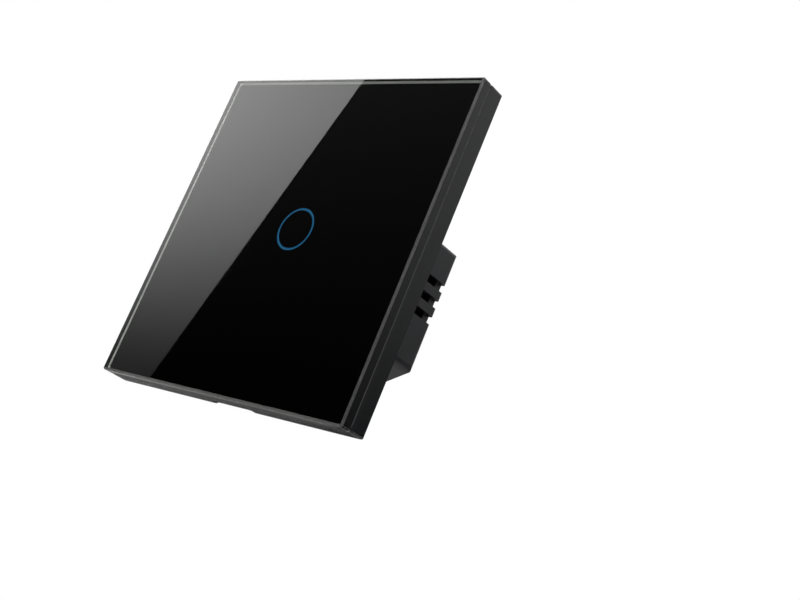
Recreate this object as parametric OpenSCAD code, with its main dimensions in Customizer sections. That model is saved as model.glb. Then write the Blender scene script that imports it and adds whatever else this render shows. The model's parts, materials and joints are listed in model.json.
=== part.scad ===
// Touch light switch, one key, for a square wall box.
// The origin is the centre of the wall plane. X runs to the right, Y into the wall, Z up.

/* [Front panel] */
// Side of the square glass and of its frame
panel_side = 86; // [84:0.5:90]
// Radius of the panel's corners, seen from the front
panel_corner_r = 0.8; // [0.5:0.1:2]
// Thickness of the glass
glass_t = 3; // [2:0.1:4]
// Chamfer round the front of the glass
glass_chamfer = 0.5; // [0.3:0.05:0.7]
// Arris taken off the back edge of the glass
glass_arris = 0.2; // [0.1:0.05:0.3]
// Thickness of the printed film
film_t = 0.1; // [0.06:0.02:0.2]
// Distance of the film's edge from the edge of the glass
film_inset = 0.9; // [0.7:0.1:1.6]
// Thickness of the adhesive tape
tape_t = 0.3; // [0.2:0.05:0.5]
// Distance of the tape's edge from the edge of the glass
tape_inset = 0.4; // [0.3:0.05:0.6]
// Width of the adhesive tape
tape_w = 4; // [3:0.1:5]

/* [Ring mark] */
// Mean diameter of the ring mark
mark_d = 10.8; // [10:0.1:12]
// Width of the ring's line
mark_line = 0.6; // [0.4:0.1:1]
// Distance of the ring's centre to the right of the panel's centre
mark_x = 2.4; // [-3:0.1:3]
// Distance of the ring's centre above the panel's centre
mark_z = 1.4; // [-3:0.1:3]

/* [Frame] */
// Depth of the frame from the tape to the wall
frame_depth = 4.6; // [4.4:0.1:6]
// Thickness of the frame's walls
frame_wall = 1.8; // [1.4:0.1:2.2]
// Reach of the ledge under the glass, from the outside of the frame
ledge_reach = 6.5; // [5.6:0.1:7.5]
// Thickness of the ledge
ledge_t = 1.2; // [1:0.1:1.4]
// Break on the frame's outer edges
frame_break = 0.4; // [0.1:0.05:0.5]
// Width of the pry notch in the lower wall
notch_w = 14; // [8:0.5:20]
// Distance of the notch's middle to the right of the panel's centre
notch_x = 1.5; // [-5:0.5:5]
// Height of the notch, from the wall
notch_h = 2; // [1.2:0.1:2.6]
// Width of each grip pad inside the upper and lower walls
grip_w = 8; // [5:0.5:12]
// Thickness of each grip pad
grip_t = 1.2; // [0.8:0.1:1.6]
// Distance of the grip pads from the middle
grip_x = 22; // [18:0.5:28]
// Clearance between a grip pad and the flange
grip_fit = 0.1; // [0.05:0.01:0.2]

/* [Flange] */
// Gap between the inside of the frame and the flange
panel_gap = 0.35; // [0.2:0.05:0.6]
// Thickness of the flange plate
flange_t = 1.8; // [1.5:0.1:2.2]
// Height of the rim and the ribs in front of the plate
rim_h = 1; // [0.6:0.1:1.2]
// Width of the rim
rim_w = 1.2; // [0.8:0.1:2]
// Thickness of the stiffening ribs
rib_t = 1.2; // [0.8:0.1:1.6]
// Distance of the stiffening ribs from the middle lines
rib_off = 9; // [7:0.5:12]
// Distance between the fixing slots
fixing_spacing = 60.3; // [60:0.1:61]
// Width of a fixing slot
fixing_w = 4.2; // [3.8:0.1:5]
// Length of a fixing slot
fixing_l = 8; // [6:0.2:8.4]

/* [Rear housing] */
// Width of the housing
cup_w = 48; // [47:0.5:50]
// Depth of the housing behind the wall
cup_depth = 27; // [26.5:0.5:32]
// Reach of the straight sides below the centre
side_bottom = 18.5; // [17:0.1:20]
// Height of the flat top above the centre
cup_top = 13.6; // [13:0.1:15]
// Reach of the flat bottom below the centre
cup_bottom = 25.2; // [25:0.1:27]
// Angle of the lower corner cuts from the horizontal
low_cut = 30; // [28:1:40]
// Thickness of the side walls
cup_wall = 1.5; // [1.2:0.1:1.8]
// Thickness of the back wall
cup_back = 2.2; // [1.6:0.1:2.4]
// Radius of the lower edges that run into the wall
cup_edge_r = 2.6; // [1.9:0.1:3]
// Radius of the two upper edges that run into the wall
cup_top_r = 1; // [0.6:0.1:1.6]
// Radius round the back wall
cup_back_r = 0.9; // [0.4:0.1:1.2]
// Number of vents in each side
vent_n = 3; // [1:1:4]
// Width of a vent
vent_w = 2.1; // [1.5:0.1:3]
// Distance from vent to vent
vent_pitch = 4.3; // [3.6:0.1:5]
// Height of the middle vent above the centre
vent_z = -0.3; // [-3:0.1:3]
// Distance from the wall to where the vents begin
vent_start = 12; // [9:0.5:18]

/* [Inner cover] */
// Thickness of the inner cover
cover_t = 1.5; // [1.2:0.1:2]
// Width of the cover's margin on the flange
cover_lap = 1.2; // [0.8:0.1:1.4]
// Clearance of the cover's skirt in the mouth of the housing
cover_fit = 0.15; // [0.1:0.05:0.3]
// Depth of the cover's skirt
skirt_h = 1.2; // [0.8:0.1:1.5]
// Thickness of the cover's skirt
skirt_t = 1; // [0.8:0.1:1.4]
// Length of the posts that carry the touch board
post_h = 1.6; // [1.5:0.1:2.2]
// Radius of those posts
post_r = 1.8; // [1.5:0.1:2.2]
// Distance of the posts from the middle, across
post_x = 15; // [13:0.5:16]
// Distance of the posts from the middle, up and down
post_z = 8.5; // [7:0.5:9]

/* [Light and touch] */
// Thickness of the light ring's wall
light_wall = 1.6; // [1.2:0.1:2]
// Gap between the light ring and the film
light_gap = 0.3; // [0.2:0.05:0.5]
// Clearance round the light ring
light_fit = 0.15; // [0.1:0.05:0.3]
// Width of the light ring's shoulder
light_shoulder = 1; // [0.6:0.1:1.2]
// Number of LEDs under the light ring
led_n = 3; // [2:1:4]
// Height of an LED
led_h = 0.8; // [0.5:0.1:0.9]
// Mean radius of the touch spring
spring_r = 3.3; // [2.6:0.1:3.5]
// Diameter of the spring's wire
spring_wire = 0.6; // [0.4:0.05:0.7]
// Number of the spring's curls
spring_turns = 3; // [2:0.25:3]
// Gap between the spring and the film
spring_gap = 0.1; // [0.05:0.05:0.2]

/* [Circuit boards] */
// Thickness of the touch board
touch_t = 1.2; // [0.8:0.1:1.6]
// Thickness of the power board
power_t = 1.6; // [1:0.1:2]
// Distance between the two boards
board_space = 5.4; // [5.2:0.1:6.5]
// Gap between the boards' edges and the housing
board_gap = 0.4; // [0.2:0.05:0.8]
// Radius of the lead wires
lead_r = 0.4; // [0.3:0.05:0.5]
// Clearance of leads and pins in their holes
lead_fit = 0.1; // [0.05:0.05:0.2]
// Length of the leads in front of the power board
lead_out = 1; // [0.5:0.1:1.2]
// Number of pins between the boards
header_n = 5; // [3:1:5]
// Distance from pin to pin
header_pitch = 2.54; // [2:0.01:2.54]

/* [Screws] */
// Radius of the cover screws' shanks
cover_screw_r = 1; // [0.8:0.1:1.2]
// Radius of the power board screws' shanks
power_screw_r = 1; // [0.8:0.1:1.2]
// Radius of the touch board screws' shanks
touch_screw_r = 0.8; // [0.6:0.1:1]
// Clearance of a shank in its hole
screw_fit = 0.05; // [0.02:0.01:0.1]
// Radius of the bosses that take the screws
boss_r = 2.5; // [2.2:0.1:2.8]

/* [Wire terminals] */
// Distance from terminal to terminal
term_pitch = 7; // [6.6:0.1:7.2]
// Thickness of the block's outer walls
block_wall = 1; // [0.8:0.1:1.2]
// Height of the block, up from the bottom of the housing
block_h = 12; // [11:0.5:12.5]
// Radius of a wire entry
entry_r = 1.6; // [1.2:0.05:1.65]
// Length of a wire entry
entry_l = 2; // [1.5:0.1:2.5]
// Clearance of the block in the housing
block_fit = 0.2; // [0.1:0.05:0.4]
// Radius of a terminal screw's shank
term_screw_r = 1.5; // [1.2:0.05:1.6]
// Radius of a terminal screw's head
term_head_r = 2.1; // [1.9:0.05:2.2]
// Height of a terminal screw's head
term_head_h = 1.5; // [1:0.1:1.8]
// Depth of the well that holds the head
well_h = 2.4; // [2:0.1:2.6]
// Thickness of the shoulder under the head
shoulder_t = 0.8; // [0.6:0.1:1]
// Running clearance of a terminal screw
term_fit = 0.05; // [0.02:0.01:0.1]
// Pitch of the terminal screw's thread
thread_pitch = 0.5; // [0.4:0.05:0.5]
// Turns from open to clamped
clamp_turns = 4; // [3:1:4]
// Thickness of a cage's walls
cage_wall = 0.8; // [0.6:0.05:0.9]
// Thickness of a cage's threaded end
cage_nut_t = 1.5; // [1.2:0.1:1.8]
// Length of a cage along the wire
cage_l = 5; // [4.5:0.1:5.4]
// Clearance round a cage
cage_gap = 0.2; // [0.15:0.05:0.3]
// Space for the wire in an open cage
wire_space = 3.4; // [3.3:0.05:3.6]
// Thickness of a conductor bar
bar_t = 1; // [0.6:0.1:1.2]
// Width of a conductor bar
bar_w = 3; // [2.4:0.1:3]

/* [Power parts] */
// Length and width of the relay, in cells of the power board
relay_cells = [6.66, 3.58];
// Length and width of the film capacitor, in cells
film_cap_cells = [4.7, 2.07];
// Diameter of the large smoothing capacitor, in cells
big_cap_cells = 2.9; // [2.2:0.1:3]
// Diameter of the small smoothing capacitor, in cells
small_cap_cells = 1.8; // [1.4:0.1:1.9]
// Diameter and thickness of the varistor's disc, in cells
varistor_cells = [2.7, 1.38];
// Diameter of the fuse, in cells
fuse_cells = 3; // [2.5:0.1:3]
// Side of the power inductor, in cells
inductor_cells = 2.9; // [2.4:0.1:3]
// Share of the depth behind the power board that the relay takes
relay_share = 0.92; // [0.7:0.01:0.95]
// Share of that depth that the film capacitor takes
film_cap_share = 0.71; // [0.5:0.01:0.9]
// Share of that depth that the large smoothing capacitor takes
big_cap_share = 0.71; // [0.5:0.01:0.9]
// Share of that depth that the small smoothing capacitor takes
small_cap_share = 0.65; // [0.4:0.01:0.9]
// Share of that depth that the fuse takes
fuse_share = 0.46; // [0.3:0.01:0.6]
// Share of that depth that the power inductor takes
inductor_share = 0.3; // [0.2:0.01:0.5]
// Length, width and height of a small chip's body
chip_size = [4.9, 3.9, 1.5];
// Length, width and height of the bridge rectifier's body
bridge_size = [4.7, 3.9, 2.4];
// Gap between the terminals and the chips next to them
part_gap = 0.8; // [0.4:0.1:1]

/* [Hidden] */
$fn = 48;
// A cut runs this far past the face it opens
past = 1;
// Larger than any size of the model
reach = 2 * panel_side;

// Stations along Y, from the wall plane
tape_back_y = -frame_depth;
film_back_y = tape_back_y - tape_t;
film_front_y = film_back_y - film_t;
glass_front_y = film_front_y - glass_t;
ledge_back_y = tape_back_y + ledge_t;
flange_front_y = -flange_t;
rim_front_y = flange_front_y - rim_h;
cover_front_y = flange_front_y - cover_t;
touch_front_y = flange_front_y + post_h;
touch_back_y = touch_front_y + touch_t;
power_front_y = touch_back_y + board_space;
power_back_y = power_front_y + power_t;
cup_floor_y = cup_depth - cup_back;

// Frame and flange
frame_in = panel_side - 2 * frame_wall;
window_side = panel_side - 2 * ledge_reach;
flange_side = frame_in - 2 * panel_gap;
tape_out = panel_side - 2 * tape_inset;
inner_r = 1;
grip_end_gap = 0.8;

// Outline of the housing in X and Z, from its lower right corner round to the left
low_half = cup_w / 2 - (cup_bottom - side_bottom) / tan(low_cut);
cup_pts = [
    [low_half, -cup_bottom],
    [cup_w / 2, -side_bottom],
    [cup_w / 2, cup_top],
    [-cup_w / 2, cup_top],
    [-cup_w / 2, -side_bottom],
    [-low_half, -cup_bottom]
];
// The sides of that outline that are corner cuts, and its upper corners
cut_sides = [0, 4];
top_corners = [2, 3];
// Radii at the points of that outline, on the outside of the wall and on its inside
cup_rs = [cup_edge_r, cup_edge_r, cup_top_r, cup_top_r, cup_edge_r, cup_edge_r];
inner_rs = [for (r = cup_rs) max(r - cup_wall, 0.4)];

// Screw places
boss_sink = 0.8;
cover_boss_in = cup_wall + boss_r - boss_sink;
cover_spots = concat(
    [for (i = cut_sides) edge_mid(cup_pts, i) - edge_normal(cup_pts, i) * cover_boss_in],
    [for (i = top_corners) corner_shift(cup_pts, i, cover_boss_in)]
);
power_top_in = [3.8, 3.8];
power_low_in = [7.8, 2];
power_spots = [
    for (s = [-1, 1]) each [
        [s * (cup_w / 2 - power_top_in[0]), cup_top - power_top_in[1]],
        [s * (cup_w / 2 - power_low_in[0]), power_low_in[1] - side_bottom]
    ]
];
touch_spots = [for (s = [-1, 1], t = [-1, 1]) [s * post_x, t * post_z]];
cover_boss_end_y = 4.5;
cover_screw_end_y = 3;
head_h = 1.1;
head_over = 1;
head_sink = 0.7;
touch_head_h = 0.9;
power_screw_l = 8;
power_screw_end_y = power_front_y + power_screw_l;
pilot_extra = 0.6;

// Ring mark and light
mark_at = [mark_x, mark_z];
light_in_r = mark_d / 2 - light_wall / 2;
light_out_r = mark_d / 2 + light_wall / 2;
light_front_y = film_back_y + light_gap;
light_back_y = touch_front_y - led_h - 0.2;
shoulder_front_y = flange_front_y + 0.1;
collar_t = 1.3;
collar_front_y = light_front_y + 0.2;
foot_r = 0.7;

// Pins between the boards
header_w = 2.5;
header_edge = 2.1;
header_h = 1.9;
header_mesh_gap = 0.1;
pin_w = 0.64;
pin_in = 2.8;
pin_out = 1.2;
tail_out = 0.4;
header_len = header_n * header_pitch;
board_half = cup_w / 2 - cup_wall - board_gap;

// Wire terminals, from the back of the housing inwards
term_n = 3;
clamp_travel = thread_pitch * clamp_turns;
pocket_back_y = cup_depth - well_h - shoulder_t;
cage_play = 0.3;
cage_back_y = pocket_back_y - cage_play - clamp_travel;
bar_back_y = cage_back_y - cage_nut_t - cage_play;
bar_front_y = bar_back_y - bar_t;
cage_floor_y = bar_front_y - wire_space;
cage_front_y = cage_floor_y - cage_wall;
pocket_front_y = cage_front_y - cage_play;
entry_y = (cage_floor_y + bar_front_y) / 2;
cage_in_w = bar_w + 2 * cage_gap;
cage_w = cage_in_w + 2 * cage_wall;
pocket_w = cage_w + 2 * cage_gap;
block_w = (term_n - 1) * term_pitch + pocket_w + 2 * block_wall;
block_bottom_z = -cup_bottom;
block_top_z = block_bottom_z + block_h;
cage_bottom_z = block_bottom_z + entry_l + cage_gap;
bar_bottom_z = cage_bottom_z + cage_gap;
bar_leg_top_z = block_top_z - 1;
bar_leg_w = 1.2;
block_break = 0.4;
term_xs = [for (i = [0 : term_n - 1]) (i - (term_n - 1) / 2) * term_pitch];

// Reach of a chip's legs beyond its body
chip_foot = 1.1;

// Cells of the power board, across it and up from the terminal block, and the depth behind it
across_n = 16;
up_n = 9;
cell_w = 2 * board_half / across_n;
cell_h = (cup_top - cup_wall - board_gap - block_top_z) / up_n;
cell = min(cell_w, cell_h);
part_depth = cup_floor_y - power_back_y;
function on_board(u, v) = [u * cell_w - board_half, block_top_z + v * cell_h];

// Sizes of the parts on the power board
relay_size = [relay_cells[0] * cell_w, relay_cells[1] * cell_h, relay_share * part_depth];
film_cap_size = [film_cap_cells[0] * cell_w, film_cap_cells[1] * cell_h, film_cap_share * part_depth];
big_cap_d = big_cap_cells * cell;
small_cap_d = small_cap_cells * cell;
varistor_d = varistor_cells[0] * cell;
varistor_t = varistor_cells[1] * cell;
fuse_d = fuse_cells * cell;
inductor_size = [inductor_cells * cell, inductor_cells * cell, inductor_share * part_depth];

// Places of the parts on the boards, in X and Z
header_at = [-(board_half - header_edge), on_board(0, 2.75)[1]];
relay_at = on_board(5.25, 7.1);
fuse_at = on_board(3.22, 3.25);
bridge_at = [on_board(5.86, 0)[0], block_top_z + part_gap + chip_foot + bridge_size[1] / 2];
varistor_at = on_board(6.41, 3.9);
film_cap_at = on_board(11.29, 7.88);
big_cap_at = on_board(13.35, 3.83);
small_cap_at = on_board(14.88, 6.05);
inductor_at = on_board(10.2, 4.37);
converter_at = [on_board(8.8, 0)[0], block_top_z + part_gap + chip_foot + chip_size[1] / 2];
touch_chip_at = [post_x - 7, 1.5 - post_z];

// Lead places of each part, as shares of its size
relay_pins = [[-0.41, -0.35], [-0.41, 0.35], [0.16, -0.35], [0.16, 0.35], [0.41, 0]];
relay_leads = [for (p = relay_pins) relay_at + [p[0] * relay_size[0], p[1] * relay_size[1]]];
film_cap_leads = [for (s = [-1, 1]) film_cap_at + [0.38 * s * film_cap_size[0], 0]];
big_cap_leads = [for (s = [-1, 1]) big_cap_at + [0, 0.22 * s * big_cap_d]];
small_cap_leads = [for (s = [-1, 1]) small_cap_at + [0, 0.2 * s * small_cap_d]];
varistor_leads = [for (s = [-1, 1]) varistor_at + [0.33 * s * varistor_d, 0]];
fuse_leads = [for (s = [-1, 1]) fuse_at + [0.3 * s * fuse_d, 0]];
all_leads = concat(relay_leads, film_cap_leads, big_cap_leads, small_cap_leads, varistor_leads, fuse_leads);
pin_spots = [for (i = [0 : header_n - 1]) header_at + [0, (i - (header_n - 1) / 2) * header_pitch]];

// Directions and offsets of a convex outline whose points run anticlockwise
function unit(v) = v / norm(v);
function toward(pts, i, step) = unit(pts[(i + step + len(pts)) % len(pts)] - pts[i]);
function half_angle(pts, i) = acos(toward(pts, i, -1) * toward(pts, i, 1)) / 2;
function inward(pts, i) = unit(toward(pts, i, -1) + toward(pts, i, 1));
function corner_shift(pts, i, d) = pts[i] + inward(pts, i) * d / sin(half_angle(pts, i));
function inset(pts, d) = [for (i = [0 : len(pts) - 1]) corner_shift(pts, i, d)];
function edge_mid(pts, i) = (pts[i] + pts[(i + 1) % len(pts)]) / 2;
function edge_normal(pts, i) = let (t = toward(pts, i, 1)) [t[1], -t[0]];
function rect(w, h) = [[w, -h] / 2, [w, h] / 2, [-w, h] / 2, [-w, -h] / 2];

// A convex outline with a radius of its own at each corner
module rounded_each(pts, rs) {
    polygon([
        for (i = [0 : len(pts) - 1], step = [-1, 1])
            pts[i] + toward(pts, i, step) * rs[i] / tan(half_angle(pts, i))
    ]);
    for (i = [0 : len(pts) - 1])
        translate(corner_shift(pts, i, rs[i])) circle(rs[i]);
}

// A convex outline with its corners rounded alike
module rounded(pts, r) {
    rounded_each(pts, [for (p = pts) r]);
}

// An outline in X and Z drawn from one station on Y to another
module along_y(y0, y1) {
    translate([0, y1, 0]) rotate([90, 0, 0]) linear_extrude(y1 - y0) children();
}

// A round bar along Y at a place in X and Z
module bar_y(at, r, y0, y1) {
    translate([at[0], y1, at[1]]) rotate([90, 0, 0]) cylinder(r = r, h = y1 - y0);
}

// A block from corner to corner
module block(low, high) {
    translate(low) cube(high - low);
}

// A block that stands on a board's back, centred at a place in X and Z
module body_on(at, size, y0, y1) {
    block([at[0] - size[0] / 2, y0, at[1] - size[1] / 2], [at[0] + size[0] / 2, y1, at[1] + size[1] / 2]);
}

// The section of a square plate across its edges, with its front and back edges broken
module plate_section(side, y0, y1, front, back) {
    polygon([
        [front - side / 2, y0], [side / 2 - front, y0], [side / 2, y0 + front], [side / 2, y1 - back],
        [side / 2 - back, y1], [back - side / 2, y1], [-side / 2, y1 - back], [-side / 2, y0 + front]
    ]);
}

// A square plate with rounded corners and broken edges
module broken_plate(side, r, y0, y1, front, back) {
    intersection() {
        along_y(y0 - past, y1 + past) rounded(rect(side, side), r);
        translate([0, 0, -side]) linear_extrude(2 * side) plate_section(side, y0, y1, front, back);
        rotate([0, 90, 0]) translate([0, 0, -side]) linear_extrude(2 * side)
            plate_section(side, y0, y1, front, back);
    }
}

// A long slot in X and Z
module slot(length, width) {
    square([length - width, width], center = true);
    for (s = [-1, 1]) translate([s * (length - width) / 2, 0]) circle(width / 2);
}

// All that lies inside one side of the housing, with that side rounded into the back
module behind_side(i) {
    n = edge_normal(cup_pts, i);
    m = edge_mid(cup_pts, i);
    translate([m[0], 0, m[1]]) rotate([0, -atan2(n[1], n[0]), 0]) translate([0, 0, -reach])
        linear_extrude(2 * reach) {
            polygon([
                [-reach, -reach], [0, -reach], [0, cup_depth - cup_back_r],
                [-cup_back_r, cup_depth], [-reach, cup_depth]
            ]);
            translate([-cup_back_r, cup_depth - cup_back_r]) circle(cup_back_r);
        }
}

module glass_panel() {
    color("#0b0c0e", 0.5)
        broken_plate(panel_side, panel_corner_r, glass_front_y, film_front_y, glass_chamfer, glass_arris);
}

module screen_print() {
    side = panel_side - 2 * film_inset;
    color("#050506") difference() {
        along_y(film_front_y, film_back_y) rounded(rect(side, side), panel_corner_r);
        difference() {
            bar_y(mark_at, (mark_d + mark_line) / 2, film_front_y - past, film_back_y + past);
            bar_y(mark_at, (mark_d - mark_line) / 2, film_front_y - 2 * past, film_back_y + 2 * past);
        }
    }
}

module adhesive_tape() {
    color("#d9d5c8") along_y(film_back_y, tape_back_y) difference() {
        rounded(rect(tape_out, tape_out), inner_r);
        rounded(rect(tape_out - 2 * tape_w, tape_out - 2 * tape_w), inner_r);
    }
}

// The pads inside the upper and lower walls that grip the flange, or the notches for them
module grips(grow, y0, y1) {
    for (s = [-1, 1], t = [-1, 1])
        block(
            [s * grip_x - grip_w / 2 - grow, y0, t > 0 ? frame_in / 2 - grip_t - grow : -frame_in / 2 - past],
            [s * grip_x + grip_w / 2 + grow, y1, t > 0 ? frame_in / 2 + past : grip_t + grow - frame_in / 2]
        );
}

module panel_frame() {
    color("#232427") {
        difference() {
            broken_plate(panel_side, panel_corner_r, tape_back_y, 0, frame_break, frame_break);
            along_y(ledge_back_y, past) rounded(rect(frame_in, frame_in), inner_r);
            along_y(tape_back_y - past, past) rounded(rect(window_side, window_side), inner_r);
            block(
                [notch_x - notch_w / 2, -notch_h, -panel_side / 2 - past],
                [notch_x + notch_w / 2, past, -frame_in / 2 + past]
            );
        }
        intersection() {
            grips(0, ledge_back_y - ledge_t / 2, -grip_end_gap);
            along_y(tape_back_y, 0) rounded(rect(frame_in + frame_wall, frame_in + frame_wall), inner_r);
        }
    }
}

// The stiffening ribs from the inner cover out to the rim
module flange_ribs() {
    from = [cup_w / 2 + 2 * cover_lap, cup_top + 2 * cover_lap, cup_bottom + 2 * cover_lap];
    out = flange_side / 2 - rim_w / 2;
    for (s = [-1, 1]) {
        for (t = [-1, 1])
            block(
                [min(s * from[0], s * out), rim_front_y, t * rib_off - rib_t / 2],
                [max(s * from[0], s * out), flange_front_y + past, t * rib_off + rib_t / 2]
            );
        for (span = [[from[1], out], [-out, -from[2]]])
            block(
                [s * rib_off - rib_t / 2, rim_front_y, span[0]],
                [s * rib_off + rib_t / 2, flange_front_y + past, span[1]]
            );
    }
}

// The flange plate with its rim and ribs
module flange() {
    tray = flange_side - 2 * rim_w;
    difference() {
        along_y(rim_front_y, 0) rounded(rect(flange_side, flange_side), inner_r);
        along_y(rim_front_y - past, flange_front_y) rounded(rect(tray, tray), inner_r);
    }
    flange_ribs();
}

// The housing's outside, rounded at the back
module cup_body() {
    intersection() {
        along_y(flange_front_y, cup_depth + past) rounded_each(cup_pts, cup_rs);
        intersection_for (i = [0 : len(cup_pts) - 1]) behind_side(i);
    }
}

// The vents in both sides, open through the back edge
module vents() {
    for (s = [-1, 1], k = [0 : vent_n - 1]) {
        z = vent_z + (k - (vent_n - 1) / 2) * vent_pitch;
        inner = cup_w / 2 - cup_wall - board_gap / 4;
        outer = cup_w / 2 + past;
        block(
            [min(s * inner, s * outer), vent_start, z - vent_w / 2],
            [max(s * inner, s * outer), cup_depth + past, z + vent_w / 2]
        );
    }
}

module rear_housing() {
    color("#2a2b2e") difference() {
        union() {
            difference() {
                union() {
                    flange();
                    cup_body();
                }
                along_y(rim_front_y - past, cup_floor_y)
                    rounded_each(inset(cup_pts, cup_wall), inner_rs);
            }
            intersection() {
                union() {
                    for (p = cover_spots) bar_y(p, boss_r, flange_front_y, cover_boss_end_y);
                    for (p = power_spots) bar_y(p, boss_r, power_back_y, cup_floor_y + cup_back / 2);
                }
                along_y(flange_front_y, cup_depth) polygon(inset(cup_pts, cup_wall / 2));
            }
        }
        grips(grip_fit, rim_front_y - past, past);
        for (s = [-1, 1])
            along_y(rim_front_y - past, past) translate([s * fixing_spacing / 2, 0]) slot(fixing_l, fixing_w);
        vents();
        block(
            [-block_w / 2 - block_fit, power_back_y, -cup_bottom - past],
            [block_w / 2 + block_fit, cup_depth + past, block_top_z + block_fit]
        );
        for (p = cover_spots)
            bar_y(p, cover_screw_r + screw_fit, flange_front_y - past, cover_screw_end_y + pilot_extra);
        for (p = power_spots)
            bar_y(p, power_screw_r + screw_fit, power_back_y - past, power_screw_end_y + pilot_extra);
    }
}

module inner_cover() {
    color("#2f3033") difference() {
        union() {
            along_y(cover_front_y, flange_front_y) rounded_each(inset(cup_pts, -cover_lap), cup_rs);
            along_y(flange_front_y - cover_t / 2, flange_front_y + skirt_h) difference() {
                rounded_each(inset(cup_pts, cup_wall + cover_fit), inner_rs);
                rounded_each(inset(cup_pts, cup_wall + cover_fit + skirt_t), inner_rs);
                for (p = cover_spots) translate(p) circle(boss_r + cover_fit);
            }
            for (p = touch_spots) bar_y(p, post_r, flange_front_y - cover_t / 2, touch_front_y);
            bar_y(mark_at, light_out_r + light_fit + collar_t, collar_front_y, flange_front_y - cover_t / 2);
        }
        bar_y(mark_at, light_out_r + light_fit, collar_front_y - past, flange_front_y + past);
        for (p = cover_spots) {
            bar_y(p, cover_screw_r + screw_fit, cover_front_y - past, flange_front_y + past);
            bar_y(p, cover_screw_r + head_over + screw_fit, cover_front_y - past, cover_front_y + head_sink);
        }
        for (p = touch_spots)
            bar_y(p, touch_screw_r + screw_fit, flange_front_y - cover_t / 2, touch_front_y + past);
    }
}

// A pan-head screw along Y with a cross in its head. The head is on the side that sign points to
module screw(at, r, seat_y, end_y, head) {
    sign = end_y > seat_y ? -1 : 1;
    top = seat_y + sign * head;
    difference() {
        union() {
            bar_y(at, r, min(seat_y, end_y), max(seat_y, end_y));
            bar_y(at, r + head_over, min(seat_y, top), max(seat_y, top));
        }
        for (turn = [0, 90])
            translate([at[0], top, at[1]]) rotate([0, turn, 0]) cube([1.4 * r, head, 0.4 * r], center = true);
    }
}

module cover_screws() {
    color("#b9bcc0") for (p = cover_spots)
        screw(p, cover_screw_r, cover_front_y + head_sink, cover_screw_end_y, head_h);
}

module touch_board_screws() {
    color("#b9bcc0") for (p = touch_spots)
        screw(p, touch_screw_r, touch_back_y, flange_front_y - cover_t / 2 + screw_fit, touch_head_h);
}

module power_board_screws() {
    color("#b9bcc0") for (p = power_spots)
        screw(p, power_screw_r, power_front_y, power_screw_end_y, head_h);
}

// The outline that both circuit boards share
module board_outline() {
    rounded_each(inset(cup_pts, cup_wall + board_gap), inner_rs);
}

module touch_board() {
    color("#1f6b3a") along_y(touch_front_y, touch_back_y) difference() {
        board_outline();
        for (p = cover_spots) translate(p) circle(boss_r + board_gap);
        for (p = touch_spots) translate(p) circle(touch_screw_r + screw_fit);
        for (p = pin_spots) translate(p) circle(pin_w / 2 + lead_fit);
    }
}

module power_board() {
    color("#1f6b3a") along_y(power_front_y, power_back_y) difference() {
        board_outline();
        for (p = power_spots) translate(p) circle(power_screw_r + screw_fit);
        for (p = all_leads) translate(p) circle(lead_r + lead_fit);
        for (p = pin_spots) translate(p) circle(pin_w + lead_fit);
        for (x = term_xs) translate([x, bar_leg_top_z - bar_t / 2])
            square([bar_leg_w + 2 * lead_fit, bar_t + 2 * lead_fit], center = true);
    }
}

// The line that the spring's wire follows: out of the board, round its curls and a short straight end
spring_steps = 8;
spring_sides = 6;
spring_low_y = touch_front_y - spring_wire;
spring_high_y = film_back_y + spring_gap + spring_wire / 2;
function spring_curl(t) = [
    mark_x + spring_r * cos(360 * t),
    spring_low_y + (spring_high_y - spring_low_y) * t / spring_turns,
    mark_z + spring_r * sin(360 * t)
];
spring_curls = [for (k = [0 : spring_steps * spring_turns]) spring_curl(k / spring_steps)];
spring_tail = unit(spring_curls[len(spring_curls) - 1] - spring_curls[len(spring_curls) - 2]);
spring_path = concat(
    [[mark_x + spring_r, touch_front_y, mark_z]],
    spring_curls,
    [spring_curls[len(spring_curls) - 1] + spring_tail * spring_wire]
);

// Directions along a path, and side vectors carried along it without twist
function path_dir(p, k) = unit(p[min(k + 1, len(p) - 1)] - p[max(k - 1, 0)]);
function across(side, d) = unit(side - (side * d) * d);
function carried(p, k, side) =
    k == len(p) ? [] : let (s = across(side, path_dir(p, k))) concat([s], carried(p, k + 1, s));

// The least gap between parts of a tube that are far apart along it
function tube_gap(p, apart, width) =
    min([for (i = [0 : len(p) - 1 - apart], j = [i + apart : len(p) - 1]) norm(p[i] - p[j])]) - width;

// A closed tube along a path
module tube(p, width, sides, start_side) {
    n = len(p);
    side = carried(p, 0, start_side);
    points = [
        for (k = [0 : n - 1], j = [0 : sides - 1])
            let (a = 360 * j / sides)
            p[k] + width / 2 * (cos(a) * side[k] + sin(a) * cross(path_dir(p, k), side[k]))
    ];
    walls = [
        for (k = [0 : n - 2], j = [0 : sides - 1])
            let (a = k * sides + j, b = k * sides + (j + 1) % sides)
            each [[a, a + sides, b], [b, a + sides, b + sides]]
    ];
    last = (n - 1) * sides;
    caps = [for (j = [1 : sides - 2]) each [[0, j, j + 1], [last, last + j + 1, last + j]]];
    polyhedron(points, concat(walls, caps));
}

module touch_spring() {
    gap = tube_gap(spring_path, spring_steps - 2, spring_wire);
    echo(str("least gap of the touch spring to itself: ", gap));
    color("#c9ccd0") tube(spring_path, spring_wire, spring_sides, [1, 0, 0]);
}

module light_ring() {
    color("#e8eef2", 0.7) difference() {
        union() {
            bar_y(mark_at, light_out_r, light_front_y, light_back_y);
            bar_y(mark_at, light_out_r + light_shoulder, shoulder_front_y, light_back_y);
            for (k = [0 : led_n - 1])
                translate([mark_x, 0, mark_z]) rotate([0, 360 * k / led_n, 0])
                    bar_y([mark_d / 2, 0], foot_r, shoulder_front_y, touch_front_y);
        }
        bar_y(mark_at, light_in_r, light_front_y - past, light_back_y + past);
    }
}

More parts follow.
